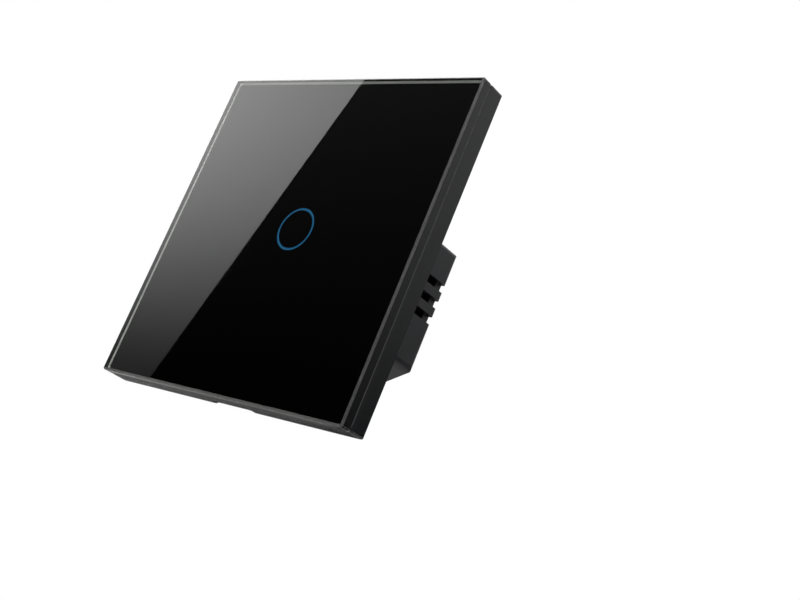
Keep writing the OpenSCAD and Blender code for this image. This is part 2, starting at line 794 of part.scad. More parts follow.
module indicator_leds() {
    base = [1.25, 2];
    lens = [1.25, 1.2];
    color("#dfe9f2") for (k = [0 : led_n - 1])
        translate([mark_x, 0, mark_z]) rotate([0, 360 * (k + 0.5) / led_n, 0]) {
            body_on([mark_d / 2, 0], base, touch_front_y - led_h / 2, touch_front_y);
            body_on([mark_d / 2, 0], lens, touch_front_y - led_h, touch_front_y);
        }
}

// A small chip on a board's back, with rows of bent legs above and below its body
module chip(at, size, legs, pitch, base_y) {
    lift = 0.1;
    leg_w = 0.42;
    leg_t = 0.2;
    foot = chip_foot;
    inner = foot / 2 - leg_t;
    knee = size[2] / 2;
    body_on(at, size, base_y + lift, base_y + size[2]);
    for (s = [-1, 1], k = [0 : legs - 1])
        translate([at[0] + (k - (legs - 1) / 2) * pitch - leg_w / 2, base_y, at[1] + s * size[1] / 2])
            rotate([0, 90, 0]) mirror([s > 0 ? 1 : 0, 0, 0]) linear_extrude(leg_w) polygon([
                [-leg_t, knee], [foot / 2, knee], [foot / 2, leg_t], [foot, leg_t],
                [foot, 0], [inner, 0], [inner, knee - leg_t], [-leg_t, knee - leg_t]
            ]);
}

module touch_chip() {
    color("#202124") chip(touch_chip_at, chip_size, 4, 1.27, touch_back_y);
}

module converter_chip() {
    color("#202124") chip(converter_at, chip_size, 4, 1.27, power_back_y);
}

module bridge_rectifier() {
    color("#202124") chip(bridge_at, bridge_size, 2, 2.54, power_back_y);
}

module pin_socket() {
    end_y = power_front_y - header_h - header_mesh_gap;
    hole = pin_w + 2 * lead_fit;
    color("#1b1c1e") {
        difference() {
            body_on(header_at, [header_w, header_len], touch_back_y, end_y);
            for (p = pin_spots) body_on(p, [hole, hole], end_y - pin_in - lead_fit, end_y + past);
        }
        for (p = pin_spots) bar_y(p, pin_w / 2, touch_front_y - tail_out, touch_back_y + tail_out);
    }
}

module pin_header() {
    front_y = power_front_y - header_h;
    pin_front_y = front_y - header_mesh_gap - pin_in;
    color("#1b1c1e") {
        body_on(header_at, [header_w, header_len], front_y, power_front_y);
        for (p = pin_spots) body_on(p, [pin_w, pin_w], pin_front_y, power_back_y + pin_out);
    }
}

// The lead wires of a part, from the power board's back out through its front
module leads(spots, top_y) {
    for (p = spots) bar_y(p, lead_r, power_front_y - lead_out, top_y);
}

// A moulded box on the power board with its back edges broken
module moulded_box(at, size, edge) {
    y0 = power_back_y;
    y1 = power_back_y + size[2];
    translate([at[0], 0, at[1]]) intersection() {
        translate([0, 0, -size[1] / 2]) linear_extrude(size[1]) polygon([
            [-size[0] / 2, y0], [size[0] / 2, y0], [size[0] / 2, y1 - edge],
            [size[0] / 2 - edge, y1], [edge - size[0] / 2, y1], [-size[0] / 2, y1 - edge]
        ]);
        rotate([0, 90, 0]) translate([0, 0, -size[0] / 2]) linear_extrude(size[0]) polygon([
            [-size[1] / 2, y0], [size[1] / 2, y0], [size[1] / 2, y1 - edge],
            [size[1] / 2 - edge, y1], [edge - size[1] / 2, y1], [-size[1] / 2, y1 - edge]
        ]);
    }
}

module relay() {
    color("#1d4f9a") {
        moulded_box(relay_at, relay_size, 0.6);
        leads(relay_leads, power_back_y + past);
    }
}

module film_capacitor() {
    color("#c9a227") {
        moulded_box(film_cap_at, film_cap_size, 0.5);
        leads(film_cap_leads, power_back_y + past);
    }
}

module power_inductor() {
    color("#3a3b3f") moulded_box(inductor_at, inductor_size, 1.2);
}

// A round can on the power board, drawn by turning half of its section
module can(at, section) {
    translate([at[0], power_back_y, at[1]]) rotate([-90, 0, 0]) rotate_extrude() polygon(section);
}

// Half the section of an electrolytic capacitor with its crimp groove
function can_section(r, h) =
    let (groove = 0.3, low = 1.4, high = 2.4, edge = 0.4) [
        [0, 0], [r, 0], [r, low], [r - groove, (low + high) / 2],
        [r, high], [r, h - edge], [r - edge, h], [0, h]
    ];

module smoothing_capacitors() {
    color("#2b2f5a") {
        can(big_cap_at, can_section(big_cap_d / 2, big_cap_share * part_depth));
        leads(big_cap_leads, power_back_y + past);
        can(small_cap_at, can_section(small_cap_d / 2, small_cap_share * part_depth));
        leads(small_cap_leads, power_back_y + past);
    }
}

module varistor() {
    lift = 1;
    t = varistor_t;
    edge = t / 4;
    r = varistor_d / 2;
    color("#2f6f9f") {
        translate([varistor_at[0], power_back_y + lift + r, varistor_at[1] - t / 2]) rotate_extrude()
            polygon([[0, 0], [r - edge, 0], [r, edge], [r, t - edge], [r - edge, t], [0, t]]);
        leads(varistor_leads, power_back_y + lift + r);
    }
}

module fuse() {
    edge = 0.5;
    r = fuse_d / 2;
    h = fuse_share * part_depth;
    color("#7a3b1e") {
        can(fuse_at, [[0, 0], [r, 0], [r, h - edge], [r - edge, h], [0, h]]);
        leads(fuse_leads, power_back_y + past);
    }
}

module terminal_block() {
    half = block_w / 2;
    edge_y = cup_depth - block_break;
    color("#3b6e46") difference() {
        translate([0, 0, block_bottom_z]) linear_extrude(block_h) polygon([
            [-half, power_back_y], [half, power_back_y], [half, edge_y],
            [half - block_break, cup_depth], [block_break - half, cup_depth], [-half, edge_y]
        ]);
        for (x = term_xs) {
            block(
                [x - pocket_w / 2, pocket_front_y, block_bottom_z + entry_l],
                [x + pocket_w / 2, pocket_back_y, block_top_z + past]
            );
            translate([x, entry_y, block_bottom_z - past]) cylinder(r = entry_r, h = entry_l + 2 * past);
            bar_y([x, screw_z()], term_screw_r + term_fit, pocket_back_y - past, cup_depth);
            bar_y([x, screw_z()], term_head_r + cage_gap, cup_depth - well_h, cup_depth + past);
            block(
                [x - bar_leg_w / 2 - lead_fit, power_back_y - past, bar_leg_top_z - bar_t - lead_fit],
                [x + bar_leg_w / 2 + lead_fit, pocket_front_y + past, bar_leg_top_z + lead_fit]
            );
        }
    }
}

// Height of the terminal screws: over the middle of the cages
function screw_z() = cage_bottom_z + cage_l / 2;

module terminal_bars() {
    color("#c8a24a") for (x = term_xs) {
        block([x - bar_w / 2, bar_front_y, bar_bottom_z], [x + bar_w / 2, bar_back_y, bar_leg_top_z]);
        block(
            [x - bar_leg_w / 2, power_front_y - lead_out, bar_leg_top_z - bar_t],
            [x + bar_leg_w / 2, bar_back_y, bar_leg_top_z]
        );
    }
}

module terminal_screw(i) {
    seat_y = cup_depth - well_h + term_fit;
    head_y = seat_y + term_head_h;
    at = [term_xs[i], screw_z()];
    slot_w = 0.7;
    color("#c3c6ca") difference() {
        union() {
            bar_y(at, term_screw_r, bar_back_y + term_fit, seat_y + term_head_h / 2);
            bar_y(at, term_head_r, seat_y, head_y);
        }
        translate([at[0], head_y, at[1]]) cube([3 * term_head_r, term_head_h, slot_w], center = true);
    }
}

module terminal_screw_1() { terminal_screw(0); }
module terminal_screw_2() { terminal_screw(1); }
module terminal_screw_3() { terminal_screw(2); }

// A rising cage: a square loop round wire and bar, with its screw through the thick end
module clamp_cage(i) {
    x = term_xs[i];
    top_z = cage_bottom_z + cage_l;
    color("#cdb06a") difference() {
        block([x - cage_w / 2, cage_front_y, cage_bottom_z], [x + cage_w / 2, cage_back_y, top_z]);
        block(
            [x - cage_in_w / 2, cage_floor_y, cage_bottom_z - past],
            [x + cage_in_w / 2, cage_back_y - cage_nut_t, top_z + past]
        );
        bar_y([x, screw_z()], term_screw_r + term_fit, bar_back_y, cage_back_y + past);
    }
}

module clamp_cage_1() { clamp_cage(0); }
module clamp_cage_2() { clamp_cage(1); }
module clamp_cage_3() { clamp_cage(2); }

glass_panel();
screen_print();
adhesive_tape();
panel_frame();
rear_housing();
inner_cover();
cover_screws();
touch_board();
touch_board_screws();
touch_spring();
light_ring();
indicator_leds();
touch_chip();
pin_socket();
pin_header();
power_board();
power_board_screws();
relay();
film_capacitor();
smoothing_capacitors();
varistor();
fuse();
bridge_rectifier();
power_inductor();
converter_chip();
terminal_block();
terminal_bars();
terminal_screw_1();
terminal_screw_2();
terminal_screw_3();
clamp_cage_1();
clamp_cage_2();
clamp_cage_3();
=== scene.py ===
"""A touch light switch with a black glass front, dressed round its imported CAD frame.

Sizes in the classes are millimetres. Meshes are metres, in the frame of the CAD: X to the right,
Y into the wall, Z up, and the origin in the middle of the wall plane.
"""
import json
import logging
import math
from dataclasses import dataclass, field
from enum import Enum

import bmesh
import bpy
from bmesh.types import BMesh, BMVert
from bpy.types import Material, Node, NodeSocket, NodeTree, Object, World
from mathutils import Matrix, Vector

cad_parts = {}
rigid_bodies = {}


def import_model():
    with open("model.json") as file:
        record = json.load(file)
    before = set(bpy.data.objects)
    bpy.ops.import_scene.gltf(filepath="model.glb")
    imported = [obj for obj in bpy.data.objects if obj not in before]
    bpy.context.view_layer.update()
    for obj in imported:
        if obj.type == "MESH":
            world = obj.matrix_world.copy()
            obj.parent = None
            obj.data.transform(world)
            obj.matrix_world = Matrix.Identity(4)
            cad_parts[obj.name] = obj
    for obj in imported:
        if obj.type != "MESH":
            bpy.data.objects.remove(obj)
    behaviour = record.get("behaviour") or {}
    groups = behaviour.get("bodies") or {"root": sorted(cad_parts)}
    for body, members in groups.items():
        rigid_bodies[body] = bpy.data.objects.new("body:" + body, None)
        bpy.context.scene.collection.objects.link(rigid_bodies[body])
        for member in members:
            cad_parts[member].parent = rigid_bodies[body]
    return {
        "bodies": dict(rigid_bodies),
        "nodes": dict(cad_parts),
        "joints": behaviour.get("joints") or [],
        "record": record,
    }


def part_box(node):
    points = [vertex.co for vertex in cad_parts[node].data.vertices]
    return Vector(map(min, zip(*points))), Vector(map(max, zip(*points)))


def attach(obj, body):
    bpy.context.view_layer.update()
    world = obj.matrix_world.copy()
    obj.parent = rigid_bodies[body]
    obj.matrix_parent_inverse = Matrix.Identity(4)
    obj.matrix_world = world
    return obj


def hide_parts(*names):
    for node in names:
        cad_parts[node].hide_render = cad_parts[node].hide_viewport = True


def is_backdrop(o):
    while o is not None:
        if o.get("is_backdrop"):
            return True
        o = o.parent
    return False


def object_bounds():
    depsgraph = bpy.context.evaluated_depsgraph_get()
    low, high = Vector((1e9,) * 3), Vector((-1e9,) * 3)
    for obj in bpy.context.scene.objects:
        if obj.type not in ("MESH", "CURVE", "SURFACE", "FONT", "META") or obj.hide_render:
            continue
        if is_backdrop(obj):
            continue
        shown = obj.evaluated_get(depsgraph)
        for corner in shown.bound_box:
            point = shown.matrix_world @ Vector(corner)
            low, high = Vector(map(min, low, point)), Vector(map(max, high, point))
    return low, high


MM = 0.001
WHITE = (1.0, 1.0, 1.0, 1.0)
# Metres within which two places are the same, and those within which a cut meets a vertex
SAME = 1e-6
CUT_SLACK = 1e-8
# Values that a noise texture mostly lies between, and those of one noise times another
NOISE_SPAN = (0.3, 0.7)
PRODUCT_SPAN = (0.12, 0.4)
# Radians of a Wave texture's bands in one of its units
WAVE_RADIANS = 20.0
# Inputs of a Mix node, whose names are the same for numbers and for colours
FACTOR, LEVEL_A, LEVEL_B, COLOUR_A, COLOUR_B = 0, 2, 3, 6, 7
Colour = tuple[float, float, float, float]
Point = tuple[float, float, float]
Spot = tuple[float, float]
Source = Node | NodeSocket
log = logging.getLogger("touch_switch")


class Body(Enum):
    """Bodies of the CAD that a new piece can ride on."""

    BASE = "base"
    PANEL = "front_panel"
    SCREW_1 = "screw_1"
    SCREW_2 = "screw_2"
    SCREW_3 = "screw_3"


class Drive(Enum):
    """How a screw's head takes its driver."""

    CROSS = "cross"
    SLOT = "slot"


class Facing(Enum):
    """Where a screw's head looks, as the quarter turns about X that take +Z there."""

    FRONT = 1
    BACK = -1


class Ray(Enum):
    """The kinds of rays that a lamp or a card can be hidden from, as Blender names the switch."""

    CAMERA = "visible_camera"
    DIFFUSE = "visible_diffuse"
    GLOSSY = "visible_glossy"
    TRANSMISSION = "visible_transmission"
    SHADOW = "visible_shadow"


class Axis(Enum):
    """An axis that a plane across the object faces along."""

    X = 0
    Y = 1
    Z = 2

    def others(self) -> tuple[int, int]:
        """Return the numbers of the two axes that lie in the plane."""
        first, second = (i for i in range(3) if i != self.value)
        return first, second


def linear(code: str) -> Colour:
    """Turn an sRGB hex colour into a linear one, by the curve of the sRGB standard.

    Args:
        code: colour as "#rrggbb".

    Returns:
        Red, green, blue and an alpha of 1, in linear light.
    """
    parts = [int(code[i:i + 2], 16) / 255 for i in (1, 3, 5)]
    red, green, blue = (p / 12.92 if p <= 0.04045 else ((p + 0.055) / 1.055) ** 2.4 for p in parts)
    return red, green, blue, 1.0


def per_mm(size: float) -> float:
    """Return the texture scale that gives a pattern features of this many millimetres."""
    return 1 / (size * MM)


def near(value: float, target: float) -> bool:
    """Tell whether two lengths in metres are the same."""
    return abs(value - target) < SAME


def box_mm(node: str) -> tuple[Vector, Vector]:
    """Return the lowest and highest corner of a CAD node, in millimetres."""
    low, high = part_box(node)
    return low / MM, high / MM


def add(tree: NodeTree, kind: str, inputs: dict | None = None, **settings) -> Node:
    """Add a shader node with its settings, numbers and links.

    Args:
        tree: node tree that takes the node.
        kind: Blender's name of the node type.
        inputs: a number, colour, socket or node (its first output in use) for each input, by name or number.
        **settings: properties of the node, set before its inputs.

    Returns:
        The new node.
    """
    node = tree.nodes.new(kind)
    for key, value in settings.items():
        setattr(node, key, value)
    for key, value in (inputs or {}).items():
        if isinstance(value, Node):
            value = next(out for out in value.outputs if out.enabled)
        if isinstance(value, NodeSocket):
            tree.links.new(value, node.inputs[key])
        else:
            node.inputs[key].default_value = value
    return node


def emptied(owner: Material | World) -> NodeTree:
    """Clear the node tree of a new material or world.

    Args:
        owner: the material or world.

    Returns:
        Its node tree, without nodes.
    """
    owner.use_nodes = True
    owner.node_tree.nodes.clear()
    return owner.node_tree


@dataclass
class Layers:
    """What a surface gives its shader: colour, roughness, metal share, a relief and other inputs."""

    colour: Source | Colour
    roughness: Source
    metallic: Source | float = 0.0
    height: Source | None = None
    depth_mm: float = 0.0
    others: dict[str, Source | Colour | float] = field(default_factory=dict)


@dataclass(frozen=True)
class Finish:
    """A real material under its common name."""

    name: str

    def layers(self, tree: NodeTree) -> Layers:
        """Make the patterns of the surface."""
        raise NotImplementedError

    def material(self) -> Material:
        """Make the material from the surface's patterns, on its first use.

        Returns:
            The material.
        """
        known = bpy.data.materials.get(self.name)
        if known:
            return known
        material = bpy.data.materials.new(self.name)
        tree = emptied(material)
        made = self.layers(tree)
        inputs = {"Base Color": made.colour, "Roughness": made.roughness, "Metallic": made.metallic}
        if made.height is not None:
            relief = {"Height": made.height, "Distance": made.depth_mm * MM}
            inputs["Normal"] = add(tree, "ShaderNodeBump", relief)
        shader = add(tree, "ShaderNodeBsdfPrincipled", inputs | made.others)
        add(tree, "ShaderNodeOutputMaterial", {"Surface": shader})
        return material


@dataclass(frozen=True)
class Moulded(Finish):
    """Moulded plastic, and what looks like it: a colour with flow marks, and the grain of a mould."""

    colour: str
    flow: str
    gloss: Spot
    grain_mm: float = 0.4
    depth_mm: float = 0.006
    flow_mm: float = 9.0
    # Colour that the edges go to: some wear and a painted edge highlight
    edge: str | None = None
    edge_mm: float = 0.2
    specular: float = 0.5
    flow_octaves: float = 4.0
    flow_swirl: float = 0.6
    grain_octaves: float = 2.0
    rub_span: Spot = (0.99, 0.8)
    rub_samples: int = 4

    def layers(self, tree: NodeTree) -> Layers:
        """Make the flow marks, the grain, and the edges lightened by wear and a painted highlight.

        Args:
            tree: node tree of the material.

        Returns:
            Patterns of the surface.
        """
        at = add(tree, "ShaderNodeTexCoord").outputs["Object"]
        flow = add(tree, "ShaderNodeTexNoise", {
            "Vector": at, "Scale": per_mm(self.flow_mm), "Detail": self.flow_octaves,
            "Distortion": self.flow_swirl})
        grain = add(tree, "ShaderNodeTexNoise", {
            "Vector": at, "Scale": per_mm(self.grain_mm), "Detail": self.grain_octaves})
        colour = add(tree, "ShaderNodeMix", {
            FACTOR: flow, COLOUR_A: linear(self.colour), COLOUR_B: linear(self.flow)}, data_type="RGBA")
        both = add(tree, "ShaderNodeMath", {0: flow, 1: grain}, operation="MULTIPLY")
        rough = add(tree, "ShaderNodeMapRange", {
            "Value": both, "From Min": PRODUCT_SPAN[0], "From Max": PRODUCT_SPAN[1],
            "To Min": self.gloss[0], "To Max": self.gloss[1]})
        if self.edge:
            colour = self.rubbed(tree, colour, flow)
        return Layers(colour, rough, 0.0, grain, self.depth_mm, {"Specular IOR Level": self.specular})

    def rubbed(self, tree: NodeTree, colour: Source, uneven: Source) -> Node:
        """Lighten the edges: partly wear from handling, partly a painted highlight along them.

        Args:
            tree: node tree of the material.
            colour: colour away from the edges.
            uneven: pattern that breaks the lightening up.

        Returns:
            The colour with its edges.
        """
        soft = add(tree, "ShaderNodeBevel", {"Radius": self.edge_mm * MM}, samples=self.rub_samples)
        flat = add(tree, "ShaderNodeNewGeometry")
        match = add(tree, "ShaderNodeVectorMath", {0: soft, 1: flat.outputs["Normal"]},
                    operation="DOT_PRODUCT")
        mask = add(tree, "ShaderNodeMapRange", {
            "Value": match.outputs["Value"], "From Min": self.rub_span[0], "From Max": self.rub_span[1]})
        # Painted edge highlight with some wear, broken up by the flow marks
        lit_and_worn = add(tree, "ShaderNodeMath", {0: mask, 1: uneven}, operation="MULTIPLY")
        return add(tree, "ShaderNodeMix", {FACTOR: lit_and_worn, COLOUR_A: colour, COLOUR_B: linear(self.edge)},
                   data_type="RGBA")


@dataclass(frozen=True)
class FoamTape(Moulded):
    """A foam tape: pale adhesive faces, and cut sides painted dark as the shade of the narrow joint it sits
    in.
    """

    # Colour of the cut sides: painted shade of the narrow joint between glass and frame
    core: str = "#48484a"
    cut_slope: float = 0.5

    def layers(self, tree: NodeTree) -> Layers:
        """Darken the faces that don't face along Y, as painted shade in the joint.

        Args:
            tree: node tree of the material.

        Returns:
            Patterns of the surface.
        """
        made = super().layers(tree)
        normal = add(tree, "ShaderNodeNewGeometry").outputs["Normal"]
        facing = add(tree, "ShaderNodeSeparateXYZ", {0: normal}).outputs["Y"]
        # Painted shade on the sides that face across the joint
        cut = add(tree, "ShaderNodeMath", {0: facing, 1: 0.0, 2: self.cut_slope}, operation="COMPARE")
        made.colour = add(tree, "ShaderNodeMix", {
            FACTOR: cut, COLOUR_A: made.colour, COLOUR_B: linear(self.core)}, data_type="RGBA")
        return made


@dataclass(frozen=True)
class Metal(Finish):
    """A metal: its colour with stains, and fine marks drawn out along one direction."""

    colour: str
    stain: str
    gloss: Spot
    stain_mm: float = 1.6
    streak_mm: Point = (0.15, 0.15, 1.2)
    depth_mm: float = 0.003
    stain_octaves: float = 5.0
    streak_octaves: float = 3.0

    def layers(self, tree: NodeTree) -> Layers:
        """Make the stains and the drawn marks.

        Args:
            tree: node tree of the material.

        Returns:
            Patterns of the surface.
        """
        at = add(tree, "ShaderNodeTexCoord").outputs["Object"]
        stain = add(tree, "ShaderNodeTexNoise", {
            "Vector": at, "Scale": per_mm(self.stain_mm), "Detail": self.stain_octaves})
        drawn = add(tree, "ShaderNodeMapping", {
            "Vector": at, "Scale": tuple(per_mm(size) for size in self.streak_mm)})
        marks = add(tree, "ShaderNodeTexNoise", {
            "Vector": drawn, "Scale": 1.0, "Detail": self.streak_octaves})
        colour = add(tree, "ShaderNodeMix", {
            FACTOR: stain, COLOUR_A: linear(self.colour), COLOUR_B: linear(self.stain)}, data_type="RGBA")
        rough = add(tree, "ShaderNodeMapRange", {
            "Value": marks, "From Min": NOISE_SPAN[0], "From Max": NOISE_SPAN[1],
            "To Min": self.gloss[0], "To Max": self.gloss[1]})
        return Layers(colour, rough, 1.0, marks, self.depth_mm)


@dataclass(frozen=True)
class CircuitBoard(Finish):
    """Glass-epoxy board under solder mask, with its copper tracks raised below the mask."""

    colour: str
    track: str
    track_mm: float = 0.9
    field_mm: float = 6.0
    copper_mm: float = 0.035
    gloss: Spot = (0.36, 0.28)
    flank_span: Spot = (0.55, 0.65)
    patch_split: float = 0.5

    def layers(self, tree: NodeTree) -> Layers:
        """Make tracks that run across in some patches and up in the others.

        Args:
            tree: node tree of the material.

        Returns:
            Patterns of the surface.
        """
        at = add(tree, "ShaderNodeTexCoord").outputs["Object"]
        scale = per_mm(self.track_mm) * math.pi / WAVE_RADIANS
        bands = [
            add(tree, "ShaderNodeTexWave", {"Vector": at, "Scale": scale}, bands_direction=way.name)
            for way in (Axis.X, Axis.Z)
        ]
        patch = add(tree, "ShaderNodeTexVoronoi", {"Vector": at, "Scale": per_mm(self.field_mm)},
                    distance="MANHATTAN")
        which = add(tree, "ShaderNodeMath", {0: patch.outputs["Color"], 1: self.patch_split},
                    operation="GREATER_THAN")
        tracks = add(tree, "ShaderNodeMix", {
            FACTOR: which, LEVEL_A: bands[0].outputs["Fac"], LEVEL_B: bands[1].outputs["Fac"]})
        copper = add(tree, "ShaderNodeMapRange", {
            "Value": tracks, "From Min": self.flank_span[0], "From Max": self.flank_span[1]})
        colour = add(tree, "ShaderNodeMix", {
            FACTOR: copper, COLOUR_A: linear(self.colour), COLOUR_B: linear(self.track)}, data_type="RGBA")
        rough = add(tree, "ShaderNodeMapRange", {
            "Value": copper, "To Min": self.gloss[0], "To Max": self.gloss[1]})
        return Layers(colour, rough, 0.0, copper, self.copper_mm)


@dataclass(frozen=True)
class Parted(Finish):
    """One finish on a part's case and another on its leads, parted by planes across an axis."""

    case: Finish
    leads: Finish
    axis: Axis
    low_mm: float
    high_mm: float

    def layers(self, tree: NodeTree) -> Layers:
        """Mix the two finishes: the case lies between the planes.

        Args:
            tree: node tree of the material.

        Returns:
            Patterns of the surface.
        """
        case, leads = self.case.layers(tree), self.leads.layers(tree)
        at = add(tree, "ShaderNodeTexCoord").outputs["Object"]
        along = add(tree, "ShaderNodeSeparateXYZ", {0: at}).outputs[self.axis.name]
        middle = (self.low_mm + self.high_mm) / 2 * MM
        half = (self.high_mm - self.low_mm) / 2 * MM
        mask = add(tree, "ShaderNodeMath", {0: along, 1: middle, 2: half}, operation="COMPARE")
        colour = add(tree, "ShaderNodeMix", {FACTOR: mask, COLOUR_A: leads.colour, COLOUR_B: case.colour},
                     data_type="RGBA")
        rough = add(tree, "ShaderNodeMix", {FACTOR: mask, LEVEL_A: leads.roughness, LEVEL_B: case.roughness})
        metal = add(tree, "ShaderNodeMath", {0: 1.0, 1: mask}, operation="SUBTRACT")
        return Layers(colour, rough, metal, case.height, case.depth_mm)


@dataclass(frozen=True)
class Glass(Finish):
    """Clear glass, with the faint waviness that tempering leaves."""

    tint: str
    ior: float
    wave_mm: float
    depth_mm: float
    haze: float = 0.02
    wave_octaves: float = 1.0

    def layers(self, tree: NodeTree) -> Layers:
        """Make the waves, and wiped-clean traces in the gloss.

        Args:
            tree: node tree of the material.

        Returns:
            Patterns of the surface.
        """
        at = add(tree, "ShaderNodeTexCoord").outputs["Object"]
        wave = add(tree, "ShaderNodeTexNoise", {
            "Vector": at, "Scale": per_mm(self.wave_mm), "Detail": self.wave_octaves})
        rough = add(tree, "ShaderNodeMapRange", {
            "Value": wave, "From Min": NOISE_SPAN[0], "From Max": NOISE_SPAN[1], "To Max": self.haze})
        clear = {"IOR": self.ior, "Transmission Weight": 1.0}
        return Layers(linear(self.tint), rough, 0.0, wave, self.depth_mm, clear)


@dataclass(frozen=True)
class EdgeLacquer(Finish):
    """Lacquer on the sides of the glass: dead black, grey on the ground chamfer, pale where tape wets it."""

    chamfer_y_mm: float
    rim_y_mm: float
    black: str = "#08080a"
    ground: str = "#7c797a"
    rim: str = "#f0ece8"
    grit_mm: float = 0.3
    depth_mm: float = 0.01
    gloss: Spot = (0.4, 0.6)
    specular: float = 0.05
    grit_octaves: float = 2.0

    def layers(self, tree: NodeTree) -> Layers:
        """Part the chamfer, the side and the rim at two stations along Y.

        Args:
            tree: node tree of the material.

        Returns:
            Patterns of the surface.
        """
        at = add(tree, "ShaderNodeTexCoord").outputs["Object"]
        grit = add(tree, "ShaderNodeTexNoise", {
            "Vector": at, "Scale": per_mm(self.grit_mm), "Detail": self.grit_octaves})
        depth = add(tree, "ShaderNodeSeparateXYZ", {0: at}).outputs["Y"]
        before = add(tree, "ShaderNodeMath", {0: depth, 1: self.chamfer_y_mm * MM}, operation="LESS_THAN")
        behind = add(tree, "ShaderNodeMath", {0: depth, 1: self.rim_y_mm * MM}, operation="GREATER_THAN")
        uneven = add(tree, "ShaderNodeMath", {0: before, 1: grit}, operation="MULTIPLY")
        side = add(tree, "ShaderNodeMix", {
            FACTOR: uneven, COLOUR_A: linear(self.black), COLOUR_B: linear(self.ground)}, data_type="RGBA")
        colour = add(tree, "ShaderNodeMix", {
            FACTOR: behind, COLOUR_A: side, COLOUR_B: linear(self.rim)}, data_type="RGBA")
        rough = add(tree, "ShaderNodeMapRange", {
            "Value": before, "To Min": self.gloss[0], "To Max": self.gloss[1]})
        # The mirror share is weak, since the glass lies on the lacquer
        return Layers(colour, rough, 0.0, grit, self.depth_mm, {"Specular IOR Level": self.specular})


@dataclass(frozen=True)
class LitGuide(Finish):
    """Frosted clear plastic, lit from inside by the indicator's LEDs."""

    colour: str
    light: str
    strength: float
    frost_mm: float
    uneven: float = 0.15
    glow_span: Spot = (0.2, 0.8)
    gloss: Spot = (0.3, 0.45)
    specular: float = 0.1
    frost_octaves: float = 3.0

    def layers(self, tree: NodeTree) -> Layers:
        """Make the frost, through which the light glows a little unevenly.

        Args:
            tree: node tree of the material.

        Returns:
            Patterns of the surface.
        """
        at = add(tree, "ShaderNodeTexCoord").outputs["Object"]
        frost = add(tree, "ShaderNodeTexNoise", {
            "Vector": at, "Scale": per_mm(self.frost_mm), "Detail": self.frost_octaves})
        glow = add(tree, "ShaderNodeMapRange", {
            "Value": frost, "From Min": self.glow_span[0], "From Max": self.glow_span[1],
            "To Min": (1 - self.uneven) * self.strength, "To Max": (1 + self.uneven) * self.strength})
        rough = add(tree, "ShaderNodeMapRange", {
            "Value": frost, "From Min": NOISE_SPAN[0], "From Max": NOISE_SPAN[1],
            "To Min": self.gloss[0], "To Max": self.gloss[1]})
        lit = {"Emission Color": linear(self.light), "Emission Strength": glow}
        return Layers(linear(self.colour), rough, others=lit | {"Specular IOR Level": self.specular})


# Soda-lime float glass, tempered: clear and very slightly green, with a mirror gloss
TEMPERED_GLASS = Glass("tempered_float_glass", "#f4faf7", ior=1.52, wave_mm=25.0, depth_mm=0.0004)
# Black screen-print ink baked on the film behind the glass: dense, with a faint mottle
PRINT_INK = Moulded("screen_print_ink", "#040405", "#060607", (0.35, 0.45), grain_mm=0.3, depth_mm=0.001,
                    flow_mm=5.0, specular=0.02)
# Acrylic foam tape: pale, matt faces with small pores, drawn coarser than real, and cut sides painted dark as
# the shade in the joint
FOAM_TAPE = FoamTape("acrylic_foam_tape", "#f2eeea", "#e6e2de", (0.8, 0.9), grain_mm=0.35, depth_mm=0.02,
                     flow_mm=3.0)
# ABS from a spark-eroded mould: near black, satin, with a fine grain drawn at twice its size, and a painted
# highlight with wear on its edges
FRAME_ABS = Moulded("spark_eroded_abs", "#0d0e0f", "#121315", (0.13, 0.2), grain_mm=0.25, depth_mm=0.004,
                    edge="#2a2b2e")
# PC/ABS for parts in the wall: a shade greyer and duller, from a coarser mould, with a painted highlight and
# wear on its edges
HOUSING_PCABS = Moulded("moulded_pc_abs", "#131416", "#18191c", (0.32, 0.44), grain_mm=0.45, flow_mm=12.0,
                        edge="#2c2d30", edge_mm=0.3)
# The inner cover's ABS: dark grey with a shallow grain, and a painted highlight with wear on its edges
COVER_ABS = Moulded("moulded_abs_cover", "#26272a", "#2d2e31", (0.45, 0.58), grain_mm=0.5, flow_mm=10.0,
                    edge="#3f4144")
# Glass-filled polyamide of the terminals: green, dull, with fibres swirling in its skin, and a painted
# highlight with wear on its edges
BLOCK_PA66 = Moulded("glass_filled_polyamide", "#2f4a37", "#375440", (0.5, 0.62), grain_mm=0.6,
                     depth_mm=0.008, flow_mm=4.0, edge="#4c6653")
# Glass-epoxy board under green solder mask, with tracks that stand out lighter
BOARD_FR4 = CircuitBoard("solder_masked_fr4", "#0f4a2b", "#1a6a3f")
# Steel screws, zinc plated and passivated: bright, bluish, with cloudy stains
ZINC_STEEL = Metal("zinc_plated_steel", "#c3c6c8", "#9fa4a8", (0.24, 0.38))
# Tinned spring wire: bright and smooth, with marks along the spring's axis
SPRING_WIRE = Metal("tinned_spring_wire", "#c9cccf", "#aeb3b7", (0.18, 0.28), stain_mm=0.8,
                    streak_mm=(0.2, 0.6, 0.2))
# Tinned copper legs: soft grey metal
TINNED_COPPER = Metal("tinned_copper", "#bfc1c2", "#a4a7a8", (0.28, 0.42), stain_mm=0.7,
                      streak_mm=(0.2, 0.5, 0.2))
# Gold-flashed pins: warm and bright
GOLD_PIN = Metal("gold_flashed_bronze", "#d9b45c", "#c39a45", (0.2, 0.32), stain_mm=0.8,
                 streak_mm=(0.2, 0.6, 0.2))
# Stamped brass: yellow, with marks along the strip it was punched from
STAMPED_BRASS = Metal("stamped_brass", "#c9a350", "#ab8236", (0.26, 0.42), stain_mm=1.8,
                      streak_mm=(0.15, 0.9, 0.15))
